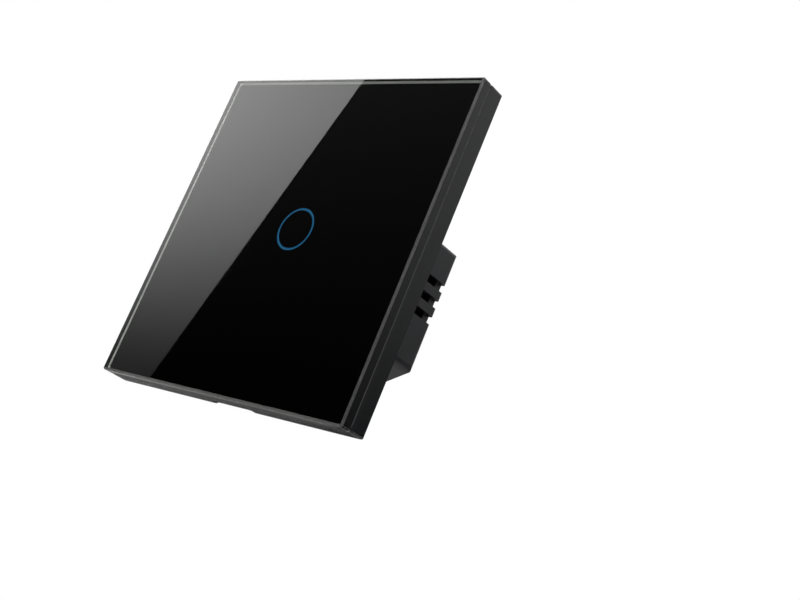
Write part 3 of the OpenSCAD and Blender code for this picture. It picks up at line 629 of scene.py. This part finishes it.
# Nickel-washed brass of the cages: paler and greyer than the bars
NICKEL_BRASS = Metal("nickel_washed_brass", "#c9b98c", "#b39c66", (0.28, 0.44), stain_mm=1.4,
                     streak_mm=(0.9, 0.15, 0.15))
# Polycarbonate light guide: frosted, blue where the LEDs light it
LIGHT_GUIDE = LitGuide("lit_polycarbonate", "#1a5278", "#1a567c", strength=0.95, frost_mm=1.5)
# Silicone lenses of the LEDs: pale, glowing blue
LED_WHITE = LitGuide("led_silicone_lens", "#e8ecdf", "#5fb4ea", strength=0.5, frost_mm=0.5)
# Moulded epoxy of a chip: black, dull, fine-grained
CHIP_EPOXY = Moulded("moulded_chip_epoxy", "#191a1b", "#222324", (0.55, 0.7), grain_mm=0.2, flow_mm=1.5)
# Black polyester of a pin strip: satin and plain
STRIP_PBT = Moulded("moulded_pbt_strip", "#141516", "#1b1c1d", (0.4, 0.5), grain_mm=0.3, depth_mm=0.004,
                    flow_mm=3.0)
# Blue polyester case of a relay: glossy, with weak flow marks, and a painted highlight with wear on its edges
RELAY_PBT = Moulded("relay_case_pbt", "#1c4a92", "#2456a3", (0.25, 0.36), grain_mm=0.5, depth_mm=0.004,
                    flow_mm=6.0, edge="#3f74bd")
# Polyester case of a film capacitor: yellow, half glossy, paler along its edges from wear and a painted
# highlight
FILM_PBT = Moulded("film_capacitor_case", "#c79c1e", "#d4ab31", (0.3, 0.42), grain_mm=0.5, depth_mm=0.004,
                   flow_mm=5.0, edge="#e2c25c")
# Shrink sleeve of an electrolytic capacitor: dark blue, glossy, with pull marks
CAN_SLEEVE = Moulded("shrink_sleeve_pet", "#23284f", "#2d3360", (0.18, 0.3), grain_mm=0.9, flow_mm=2.5)
# Dipped epoxy of a varistor: blue, glossy, orange-peel skin
DIPPED_EPOXY = Moulded("dipped_epoxy", "#235f92", "#2d6ea3", (0.2, 0.34), grain_mm=0.9, depth_mm=0.02,
                       flow_mm=3.0)
# Moulded polyester case of a radial fuse: brown and satin
FUSE_CASE = Moulded("fuse_case_pbt", "#6b3219", "#7a3d21", (0.35, 0.48), depth_mm=0.004, flow_mm=4.0)
# Sintered ferrite: dark grey, matt, with pores
FERRITE = Moulded("sintered_ferrite", "#35363a", "#414247", (0.6, 0.75), grain_mm=0.25, depth_mm=0.012,
                  flow_mm=1.2)
# Matt paint of the studio's floor: pale, with a broad mottle
FLOOR_PAINT = Moulded("pale_matt_floor", "#ecebe8", "#e6e5e2", (0.85, 0.95), grain_mm=4.0, depth_mm=0.01,
                      flow_mm=300.0)


def shown(name: str, bm: BMesh, material: Material) -> Object:
    """Make an object of a mesh in place and link it to the scene.

    Args:
        name: name of the object and its mesh.
        bm: its mesh, in metres and in place, which is freed.
        material: its material.

    Returns:
        The new object.
    """
    mesh = bpy.data.meshes.new(name)
    bm.to_mesh(mesh)
    bm.free()
    mesh.materials.append(material)
    made = bpy.data.objects.new(name, mesh)
    bpy.context.scene.collection.objects.link(made)
    return made


def finish_piece(name: str, bm: BMesh, finish: Finish, body: Body,
                 nodes: tuple[str, ...] = ()) -> None:
    """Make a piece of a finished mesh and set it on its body.

    Args:
        name: the piece's name.
        bm: its mesh, in metres and in place.
        finish: its material.
        body: the body that it moves with.
        nodes: CAD nodes that it stands for.
    """
    piece = shown(name, bm, finish.material())
    if nodes:
        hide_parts(*nodes)
    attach(piece, body.value)
    log.info("piece %s on %s, %d faces", name, body.value, len(piece.data.polygons))


def solids_mm(frame: dict, node: str) -> list[tuple[Vector, Vector]]:
    """Measure each separate solid of a CAD node.

    Args:
        frame: the loaded frame.
        node: name of the node.

    Returns:
        The lowest and highest corner of each solid, in millimetres.
    """
    bm = bmesh.new()
    bm.from_mesh(frame["nodes"][node].data)
    bmesh.ops.remove_doubles(bm, verts=bm.verts, dist=SAME)
    left = set(bm.verts)
    boxes = []
    while left:
        solid = [left.pop()]
        # The list grows while it is walked, until no neighbour is left
        for vert in solid:
            fresh = {edge.other_vert(vert) for edge in vert.link_edges} & left
            left -= fresh
            solid.extend(fresh)
        low, high = (Vector(pick(v.co[i] for v in solid) / MM for i in range(3)) for pick in (min, max))
        boxes.append((low, high))
    bm.free()
    return sorted(boxes, key=lambda box: tuple(box[0]))


@dataclass
class Assembly:
    """A group of pieces round nodes of the loaded frame."""

    frame: dict

    def build(self) -> None:
        """Model the group's own pieces, if it has some."""

    def finishes(self) -> dict[str, Finish]:
        """Return the finish of each CAD node that stays in view."""
        raise NotImplementedError

    def dress(self) -> None:
        """Give the group's CAD nodes their finishes."""
        for node, finish in self.finishes().items():
            for holder in self.frame["nodes"][node].material_slots:
                holder.material = finish.material()
            log.info("node %s in %s", node, finish.name)


@dataclass
class FrontPanel(Assembly):
    """The glass with its print, tape and frame, which pull off the base together."""

    corner_r: float = 0.8
    corner_steps: int = 6
    chamfer: float = 0.5
    arris: float = 0.2
    lacquer_gap: float = 0.02
    lacquer_t: float = 0.05
    lacquer_return: float = 0.3
    wet_rim: float = 0.1

    def edge_band(self) -> BMesh:
        """Model the lacquer inside the sides of the glass.

        Returns:
            A thin closed band round the glass, chamfered as the glass is.
        """
        low, high = box_mm("glass_panel")
        gap = self.lacquer_gap
        size = (high - low - Vector((2 * gap,) * 3)) * MM
        middle = (low + high) / 2 * MM
        # A chamfer is narrower by this where it keeps the gap to the glass
        slant = gap * (2 - math.sqrt(2))
        bm = bmesh.new()
        bmesh.ops.create_cube(bm, size=1.0, matrix=Matrix.LocRotScale(middle, None, size))
        upright = [e for e in bm.edges if not near(e.verts[0].co.y, e.verts[1].co.y)]
        bmesh.ops.bevel(bm, geom=upright, offset=(self.corner_r - gap) * MM, segments=self.corner_steps,
                        profile=0.5, affect="EDGES", material=-1)
        front = (middle.y - size.y / 2, self.chamfer, 0.0)
        back = (middle.y + size.y / 2, self.arris, self.lacquer_return)
        for station, cut, turned in (front, back):
            rim = [e for e in bm.edges if all(near(v.co.y, station) for v in e.verts)]
            bmesh.ops.bevel(bm, geom=rim, offset=(cut - slant) * MM, segments=1, profile=0.5,
                            affect="EDGES", material=-1)
            lids = [f for f in bm.faces if all(near(v.co.y, station) for v in f.verts)]
            if turned:
                bmesh.ops.inset_region(bm, faces=lids, thickness=turned * MM)
            bmesh.ops.delete(bm, geom=lids, context="FACES")
        bmesh.ops.recalc_face_normals(bm, faces=bm.faces)
        bmesh.ops.solidify(bm, geom=bm.faces[:], thickness=self.lacquer_t * MM)
        return bm

    def build(self) -> None:
        """Model the panel's own piece, whose lacquer changes at the chamfer and at the tape."""
        front, back = (corner.y for corner in box_mm("glass_panel"))
        lacquer = EdgeLacquer("edge_lacquer_over_ground_glass", front + self.chamfer, back - self.wet_rim)
        finish_piece("edge_lacquer", self.edge_band(), lacquer, Body.PANEL)

    def finishes(self) -> dict[str, Finish]:
        """Return the finishes of the glass and what is stuck to it."""
        return {
            "glass_panel": TEMPERED_GLASS,
            "screen_print": PRINT_INK,
            "adhesive_tape": FOAM_TAPE,
            "panel_frame": FRAME_ABS,
        }


@dataclass(frozen=True)
class Screw:
    """A kind of screw with its thread and the recess for its driver, modelled along Z from its seat.

    The shares at the end are of the core's radius, the pitch, the head's height or the head's radius.
    """

    shank_r: float
    head_r: float
    head_h: float
    pitch: float
    head: Facing
    drive: Drive = Drive.CROSS
    thread_deep: float = 0.2
    sides: int = 28
    thread_steps: int = 16
    round_steps: int = 4
    tip_share: float = 0.7
    foot_share: float = 0.9
    flank_share: float = 0.35
    round_share: float = 0.3
    recess_share: float = 0.6
    arm_share: float = 0.17
    cross_share: float = 0.62
    slot_share: float = 0.8

    def shaft(self, bm: BMesh, length: float) -> None:
        """Model the shank and its thread below the seat.

        Args:
            bm: mesh that takes them.
            length: reach below the seat, in metres.
        """
        core = (self.shank_r - self.thread_deep) * MM
        pitch = self.pitch * MM
        bmesh.ops.create_cone(bm, cap_ends=True, segments=self.sides, radius1=self.tip_share * core,
                              radius2=core, depth=length, matrix=Matrix.Translation((0, 0, -length / 2)))
        foot, crest = self.foot_share * core, self.shank_r * MM
        half = self.flank_share * pitch
        # Whole turns that leave room for the thread's own width, and half of it again below the seat
        turns = (length - 3 * half) // pitch
        low = half - length
        section = [bm.verts.new(p) for p in ((foot, 0, low - half), (crest, 0, low), (foot, 0, low + half))]
        edges = [bm.edges.new((section[i - 1], section[i])) for i in range(len(section))]
        swept = bmesh.ops.spin(bm, geom=section + edges, cent=(0, 0, 0), axis=(0, 0, 1),
                               dvec=(0, 0, pitch / self.thread_steps), angle=2 * math.pi * turns,
                               steps=int(turns * self.thread_steps), use_merge=False)
        last = [v for v in swept["geom_last"] if isinstance(v, BMVert)]
        for end in (section, last):
            bm.faces.new(end)

    def crown(self, bm: BMesh) -> None:
        """Model the head above the seat, with its recess.

        Args:
            bm: mesh that takes it.
        """
        top, radius = self.head_h * MM, self.head_r * MM
        bmesh.ops.create_cone(bm, cap_ends=True, segments=self.sides, radius1=radius, radius2=radius,
                              depth=top, matrix=Matrix.Translation((0, 0, top / 2)))
        rim = [e for e in bm.edges if all(near(v.co.z, top) for v in e.verts)]
        bmesh.ops.bevel(bm, geom=rim, offset=self.round_share * top, segments=self.round_steps, profile=0.5,
                        affect="EDGES", material=-1)
        half = self.arm_share * radius
        arm = {Drive.CROSS: self.cross_share, Drive.SLOT: self.slot_share}[self.drive] * radius
        lids = [f for f in bm.faces if near(f.calc_center_median().z, top)]
        for normal in (Vector((1, 0, 0)), Vector((0, 1, 0))):
            for far in (-half, half, -arm, arm):
                parts = dict.fromkeys(g for f in lids for g in (f, *f.edges, *f.verts))
                bmesh.ops.bisect_plane(bm, geom=list(parts), dist=CUT_SLACK, plane_co=normal * far,
                                       plane_no=normal)
                lids = [f for f in bm.faces if near(f.calc_center_median().z, top)]
        inside = [f for f in lids if self.in_recess(f.calc_center_median(), half, arm)]
        sunk = bmesh.ops.extrude_face_region(bm, geom=inside)
        verts = [v for v in sunk["geom"] if isinstance(v, BMVert)]
        bmesh.ops.translate(bm, verts=verts, vec=(0, 0, -self.recess_share * top))
        bmesh.ops.delete(bm, geom=inside, context="FACES")

    def in_recess(self, place: Vector, half: float, arm: float) -> bool:
        """Tell whether a place on the head lies in a recess with arms of this half width and reach."""
        x, y = abs(place.x), abs(place.y)
        return (x < arm and y < half) or (self.drive is Drive.CROSS and x < half and y < arm)

    def fitted(self, frame: dict, node: str) -> BMesh:
        """Model a screw in the place of each solid of a CAD node.

        Args:
            frame: the loaded frame.
            node: name of the node.

        Returns:
            Mesh of the node's screws.
        """
        bm = bmesh.new()
        for low, high in solids_mm(frame, node):
            own = bmesh.new()
            self.shaft(own, (high.y - low.y - self.head_h) * MM)
            self.crown(own)
            bmesh.ops.recalc_face_normals(own, faces=own.faces)
            place = (low + high) / 2
            place.y = low.y + self.head_h if self.head is Facing.FRONT else high.y - self.head_h
            turn = Matrix.Rotation(self.head.value * math.pi / 2, 4, "X")
            own.transform(Matrix.Translation(place * MM) @ turn)
            held = bpy.data.meshes.new("screw_draft")
            own.to_mesh(held)
            own.free()
            bm.from_mesh(held)
            bpy.data.meshes.remove(held)
        return bm

    def build(self, frame: dict, node: str, piece: str, body: Body = Body.BASE) -> None:
        """Make the screws of a CAD node as one piece on a body."""
        finish_piece(piece, self.fitted(frame, node), ZINC_STEEL, body, (node,))


# Screws into the housing, into the inner cover, and of the terminals
HOUSING_SCREW = Screw(shank_r=1.0, head_r=2.0, head_h=1.1, pitch=0.8, head=Facing.FRONT)
COVER_SCREW = Screw(shank_r=0.8, head_r=1.8, head_h=0.9, pitch=0.6, head=Facing.BACK)
CLAMP_SCREW = Screw(shank_r=1.5, head_r=2.1, head_h=1.5, pitch=0.5, head=Facing.BACK, drive=Drive.SLOT)


def legged(node: str, foot_mm: float = 1.1) -> Parted:
    """Make the finish of a chip whose legs reach this far out, above and below its body."""
    low, high = (corner.z for corner in box_mm(node))
    return Parted(f"{node}_epoxy_and_tin", CHIP_EPOXY, TINNED_COPPER, Axis.Z, low + foot_mm, high - foot_mm)


@dataclass
class TouchFront(Assembly):
    """The inner cover with the touch board, its spring, light ring and screws."""

    mark: Spot = (2.4, 1.4)
    spring_r: float = 3.3
    wire_r: float = 0.3
    film_gap: float = 0.1
    spring_turns: int = 3
    wire_sides: int = 12
    curl_steps: int = 32

    def coil(self) -> BMesh:
        """Model the spring: its curls, and the leg that is soldered into the board.

        Returns:
            Mesh of the spring.
        """
        x, z = (m * MM for m in self.mark)
        wire = self.wire_r * MM
        board_y = box_mm("touch_board")[0].y * MM
        low_y = board_y - 2 * wire
        high_y = (box_mm("screen_print")[1].y + self.film_gap) * MM + wire
        steps = self.curl_steps * self.spring_turns
        bm = bmesh.new()
        start = Matrix.Translation((x + self.spring_r * MM, low_y, z))
        bmesh.ops.create_circle(bm, cap_ends=True, segments=self.wire_sides, radius=wire, matrix=start)
        swept = bmesh.ops.spin(bm, geom=bm.verts[:] + bm.edges[:], cent=(x, 0, z), axis=(0, -1, 0),
                               dvec=(0, (high_y - low_y) / steps, 0), angle=2 * math.pi * self.spring_turns,
                               steps=steps, use_merge=False)
        bm.faces.new([v for v in swept["geom_last"] if isinstance(v, BMVert)])
        leg = board_y - low_y
        along_y = Matrix.Translation((0, leg / 2, 0)) @ Matrix.Rotation(math.pi / 2, 4, "X")
        bmesh.ops.create_cone(bm, cap_ends=True, segments=self.wire_sides, radius1=wire, radius2=wire,
                              depth=leg, matrix=start @ along_y)
        bmesh.ops.recalc_face_normals(bm, faces=bm.faces)
        for face in bm.faces:
            face.smooth = len(face.verts) == 4
        return bm

    def build(self) -> None:
        """Model the spring and the screws."""
        finish_piece("coiled_touch_spring", self.coil(), SPRING_WIRE, Body.BASE,
                     ("touch_spring",))
        HOUSING_SCREW.build(self.frame, "cover_screws", "threaded_cover_screws")
        COVER_SCREW.build(self.frame, "touch_board_screws", "threaded_touch_screws")

    def finishes(self) -> dict[str, Finish]:
        """Return the finishes in front of the power board, where the socket spans the boards."""
        back, power = box_mm("touch_board")[1].y, box_mm("power_board")[0].y
        return {
            "inner_cover": COVER_ABS,
            "touch_board": BOARD_FR4,
            "light_ring": LIGHT_GUIDE,
            "indicator_leds": LED_WHITE,
            "touch_chip": legged("touch_chip"),
            "pin_socket": Parted("pin_socket_pbt_and_tin", STRIP_PBT, TINNED_COPPER, Axis.Y, back, power),
        }


@dataclass
class PowerBoard(Assembly):
    """The power board and the parts that stand on it."""

    strip_h: float = 1.9

    def build(self) -> None:
        """Model the board's screws."""
        HOUSING_SCREW.build(self.frame, "power_board_screws", "threaded_board_screws")

    def finishes(self) -> dict[str, Finish]:
        """Return the finishes on the board: leads go through it, and cases stand behind it.

        Returns:
            The finish of each node.
        """
        front, back = (corner.y for corner in box_mm("power_board"))
        deep = box_mm("rear_housing")[1].y
        cases = {"relay": RELAY_PBT, "film_capacitor": FILM_PBT, "varistor": DIPPED_EPOXY, "fuse": FUSE_CASE,
                 "smoothing_capacitors": CAN_SLEEVE}
        leaded = {
            node: Parted(f"{case.name}_with_leads", case, TINNED_COPPER, Axis.Y, back, deep)
            for node, case in cases.items()
        }
        return leaded | {
            "power_board": BOARD_FR4,
            "bridge_rectifier": legged("bridge_rectifier"),
            "converter_chip": legged("converter_chip"),
            "power_inductor": FERRITE,
            "pin_header": Parted("pin_header_pbt_and_gold", STRIP_PBT, GOLD_PIN, Axis.Y, front - self.strip_h,
                                 front),
        }


@dataclass
class Terminals(Assembly):
    """The terminal block with its screws, cages and bars."""

    screw_bodies: tuple[Body, ...] = (Body.SCREW_1, Body.SCREW_2, Body.SCREW_3)

    def build(self) -> None:
        """Model the three screws, each on its own body."""
        for i, body in enumerate(self.screw_bodies, 1):
            node = f"terminal_screw_{i}"
            CLAMP_SCREW.build(self.frame, node, f"threaded_{node}", body)

    def finishes(self) -> dict[str, Finish]:
        """Return the finishes of the block, the bars and the cages."""
        cages = {f"clamp_cage_{i}": NICKEL_BRASS for i in range(1, len(self.screw_bodies) + 1)}
        return {"terminal_block": BLOCK_PA66, "terminal_bars": STAMPED_BRASS} | cages


@dataclass
class Housing(Assembly):
    """The rear housing with its mounting flange."""

    def finishes(self) -> dict[str, Finish]:
        """Return the finish of the moulding."""
        return {"rear_housing": HOUSING_PCABS}


@dataclass
class PhotoCamera:
    """The camera at the photograph's viewing angle, with its turns about X, Y and Z in degrees."""

    place: Point = (225.99, -195.78, -83.49)
    turns: Point = (106.218, -21.469, 37.887)
    lens_mm: float = 57.154
    sensor_mm: float = 36.0
    clip_mm: float = 10.0

    def build(self) -> None:
        """Make the camera and set it in the scene."""
        data = bpy.data.cameras.new("photo_camera")
        data.lens = self.lens_mm
        data.sensor_width = self.sensor_mm
        data.clip_start = self.clip_mm * MM
        camera = bpy.data.objects.new("photo_camera", data)
        camera.location = Vector(self.place) * MM
        camera.rotation_euler = [math.radians(turn) for turn in self.turns]
        bpy.context.scene.collection.objects.link(camera)
        bpy.context.scene.camera = camera


@dataclass
class MirrorCard:
    """A studio card that the object mirrors, laid out by where its reflection shows on the object.

    The outline is places on a mirror plane of the object. The levels along and across it fade the light.
    """

    name: str
    eye: Point
    axis: Axis
    mirror_at: float
    card_at: float
    strength: float
    outline: tuple[Spot, ...]
    along: tuple[Spot, ...]
    across: tuple[Spot, ...] = ((-43, 1.0), (43, 1.0))

    def beyond(self, spot: Spot) -> Vector:
        """Find the place on the card that a place on the object mirrors to the eye.

        Args:
            spot: place on the mirror plane, along its two axes.

        Returns:
            The place on the card, in metres.
        """
        place, behind = Vector(), Vector(self.eye)
        facing = self.axis.value
        place[facing] = self.mirror_at
        for number, value in zip(self.axis.others(), spot):
            place[number] = value
        behind[facing] = 2 * self.mirror_at - behind[facing]
        share = (self.card_at - behind[facing]) / (self.mirror_at - behind[facing])
        return (behind + (place - behind) * share) * MM

    def build(self) -> None:
        """Make the card, seen by reflections alone."""
        bm = bmesh.new()
        bm.faces.new([bm.verts.new(self.beyond(spot)) for spot in self.outline])
        card = shown(self.name, bm, self.light())
        for ray in (Ray.CAMERA, Ray.DIFFUSE, Ray.SHADOW):
            setattr(card, ray.value, False)
        card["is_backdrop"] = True

    def light(self) -> Material:
        """Make the card's light, which fades along both axes of its plane.

        Returns:
            The card's material.
        """
        material = bpy.data.materials.new(self.name)
        tree = emptied(material)
        at = add(tree, "ShaderNodeTexCoord").outputs["Object"]
        parts = add(tree, "ShaderNodeSeparateXYZ", {0: at}).outputs
        first, second = self.axis.others()
        across = [(self.beyond((spot, 0))[first], level) for spot, level in self.across]
        along = [(self.beyond((0, spot))[second], level) for spot, level in self.along]
        both = {0: self.profile(tree, parts[second], along), 1: self.profile(tree, parts[first], across)}
        level = add(tree, "ShaderNodeMath", both, operation="MULTIPLY")
        lit = add(tree, "ShaderNodeMath", {0: level, 1: self.strength}, operation="MULTIPLY")
        glow = add(tree, "ShaderNodeEmission", {"Color": WHITE, "Strength": lit})
        add(tree, "ShaderNodeOutputMaterial", {"Surface": glow})
        return material

    def profile(self, tree: NodeTree, place: Source, stops: list[Spot]) -> Node:
        """Make a level that follows stops along one axis of the card.

        Args:
            tree: node tree of the card's material.
            place: coordinate along the axis.
            stops: place on the card, in metres, and level of each stop.

        Returns:
            The level.
        """
        start, end = stops[0][0], stops[-1][0]
        share = add(tree, "ShaderNodeMapRange", {"Value": place, "From Min": start, "From Max": end})
        ramp = add(tree, "ShaderNodeValToRGB", {0: share})
        ramp.color_ramp.interpolation = "B_SPLINE"
        marks = ramp.color_ramp.elements
        for inner, _ in stops[1:-1]:
            marks.new((inner - start) / (end - start))
        for mark, (_, level) in zip(marks, stops):
            mark.color = (level, level, level, 1)
        return ramp


@dataclass
class Lamp:
    """A soft square lamp."""

    name: str
    place: Point
    side: float
    watts: float
    seen_by: tuple[Ray, ...] = (Ray.DIFFUSE,)
    aim: Point = (0, 0, 0)

    def build(self) -> None:
        """Make the lamp and turn it to its aim."""
        data = bpy.data.lights.new(self.name, "AREA")
        data.shape = "SQUARE"
        data.size = self.side * MM
        data.energy = self.watts
        lamp = bpy.data.objects.new(self.name, data)
        lamp.location = Vector(self.place) * MM
        lamp.rotation_euler = (Vector(self.aim) - Vector(self.place)).to_track_quat("-Z", "Y").to_euler()
        for ray in (Ray.CAMERA, Ray.DIFFUSE, Ray.GLOSSY, Ray.TRANSMISSION):
            setattr(lamp, ray.value, ray in self.seen_by)
        bpy.context.scene.collection.objects.link(lamp)


# Two fills in front that only the glass lets in, and two broad lamps above
LAMPS = (
    Lamp("low_fill", (-250, -420, -60), side=300, watts=0.3, seen_by=(Ray.TRANSMISSION,), aim=(0, 0, -20)),
    Lamp("front_fill", (250, -420, 350), side=300, watts=1.3, seen_by=(Ray.TRANSMISSION,)),
    Lamp("top_right", (500, -200, 550), side=500, watts=4.0, seen_by=(Ray.DIFFUSE, Ray.TRANSMISSION)),
    Lamp("top_left", (-550, -450, 450), side=600, watts=5.0),
)


@dataclass
class Studio:
    """The pale floor, the world, the lamps and the cards round the object."""

    floor_z: float = -250.0
    floor_r: float = 1500.0
    floor_sides: int = 96
    ambient: float = 0.45
    softbox_y: float = -500.0
    flag_y: float = -620.0
    flag_x: float = 500.0
    low_lift: float = 1.0
    corner_lift: float = 1.5
    lamps: tuple[Lamp, ...] = LAMPS

    def floor(self) -> None:
        """Lay a plain pale floor with a faint mottle."""
        bm = bmesh.new()
        bmesh.ops.create_circle(bm, cap_ends=True, segments=self.floor_sides, radius=self.floor_r * MM,
                                matrix=Matrix.Translation((0, 0, self.floor_z * MM)))
        shown("floor", bm, FLOOR_PAINT.material())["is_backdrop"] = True

    def world(self) -> None:
        """Make a white background that lights the object less than it shows."""
        world = bpy.data.worlds.new("studio")
        bpy.context.scene.world = world
        tree = emptied(world)
        path = add(tree, "ShaderNodeLightPath").outputs
        seen = path["Is Camera Ray"]
        for ray in ("Is Glossy Ray", "Is Transmission Ray"):
            seen = add(tree, "ShaderNodeMath", {0: seen, 1: path[ray]}, operation="MAXIMUM")
        level = add(tree, "ShaderNodeMath", {0: seen, 1: 1 - self.ambient, 2: self.ambient},
                    operation="MULTIPLY_ADD")
        back = add(tree, "ShaderNodeBackground", {"Color": WHITE, "Strength": level})
        add(tree, "ShaderNodeOutputWorld", {"Surface": back})

    def cards(self, eye: Point, low: Vector, high: Vector) -> tuple[MirrorCard, ...]:
        """Lay out the cards by what the front, the right side and the underside of the object mirror.

        Args:
            eye: place of the camera.
            low: lowest corner of the object.
            high: its highest corner.

        Returns:
            The cards.
        """
        return (
            # The pale field on the face, which ends on a slant
            MirrorCard("softbox", eye, Axis.Y, low.y, self.softbox_y, strength=3.4,
                       outline=((-75, 65), (12.8, 65), (-29.2, -60), (-75, -60)),
                       along=((-60, 0.01), (-35, 0.075), (-12, 0.42), (8, 0.74), (30, 0.95), (65, 1.0)),
                       across=((-43, 1.0), (10, 0.76))),
            # A dim field over the rest of the face, in place of the white surroundings
            MirrorCard("front_flag", eye, Axis.Y, low.y, self.flag_y, strength=0.13,
                       outline=((-140, 160), (240, 160), (240, -120), (-140, -120)),
                       along=((-60, 0.02), (-20, 0.1), (30, 0.55), (65, 1.0))),
            # The line along the right edge of the glass, where the chamfer looks further to the side
            MirrorCard("edge_flag", eye, Axis.Y, low.y, self.flag_y, strength=1.0,
                       outline=((240, 160), (420, 160), (420, -120), (240, -120)),
                       along=((-60, 0.05), (-40, 0.12), (0, 0.55), (40, 0.95), (90, 1.0))),
            # The right sides, which darken towards the bottom
            MirrorCard("side_flag", eye, Axis.X, high.x, self.flag_x, strength=0.8,
                       outline=((-150, 200), (400, 200), (400, -150), (-150, -150)),
                       along=((-80, 0.02), (-40, 0.05), (0, 0.5), (40, 0.85), (90, 1.0))),
            # The undersides, brightest along the glass
            MirrorCard("low_flag", eye, Axis.Z, low.z, self.floor_z + self.low_lift, strength=1.1,
                       outline=((-300, -80), (120, -80), (120, 250), (-300, 250)),
                       along=((-80, 0.16), (-16, 0.16), (-12, 1.0), (-9, 1.0), (-7.5, 0.6), (-6, 0.2),
                              (-4.5, 0.05), (250, 0.05)),
                       across=((-43, 1.0), (-20, 0.8), (0, 0.6), (20, 0.48), (36, 0.72), (41, 0.25),
                               (44, 0.03), (80, 0.03))),
            # The lower right corner, which would mirror the white surroundings
            MirrorCard("corner_flag", eye, Axis.Z, low.z, self.floor_z + self.corner_lift, strength=0.06,
                       outline=((118, -109), (148, -139), (181, -146), (215, -149), (307, -98), (294, -71),
                                (222, -128), (179, -128), (156, -114), (123, -86)),
                       along=((-150, 1.0), (-70, 1.0))),
        )

    def build(self, eye: Point, box: tuple[Vector, Vector]) -> None:
        """Make the studio.

        Args:
            eye: place of the camera.
            box: lowest and highest corner of the object, in metres.
        """
        bpy.context.scene.view_settings.view_transform = "Standard"
        self.floor()
        self.world()
        for card in self.cards(eye, *(corner / MM for corner in box)):
            card.build()
        for lamp in self.lamps:
            lamp.build()


def main() -> None:
    """Build the camera, the studio round the CAD's box, and the assemblies in order."""
    logging.basicConfig(level=logging.INFO, format="%(name)s: %(message)s")
    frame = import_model()
    cad_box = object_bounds()
    camera = PhotoCamera()
    camera.build()
    Studio().build(camera.place, cad_box)
    for kind in (FrontPanel, TouchFront, PowerBoard, Terminals, Housing):
        assembly = kind(frame)
        assembly.build()
        assembly.dress()


if __name__ == "__main__":
    main()
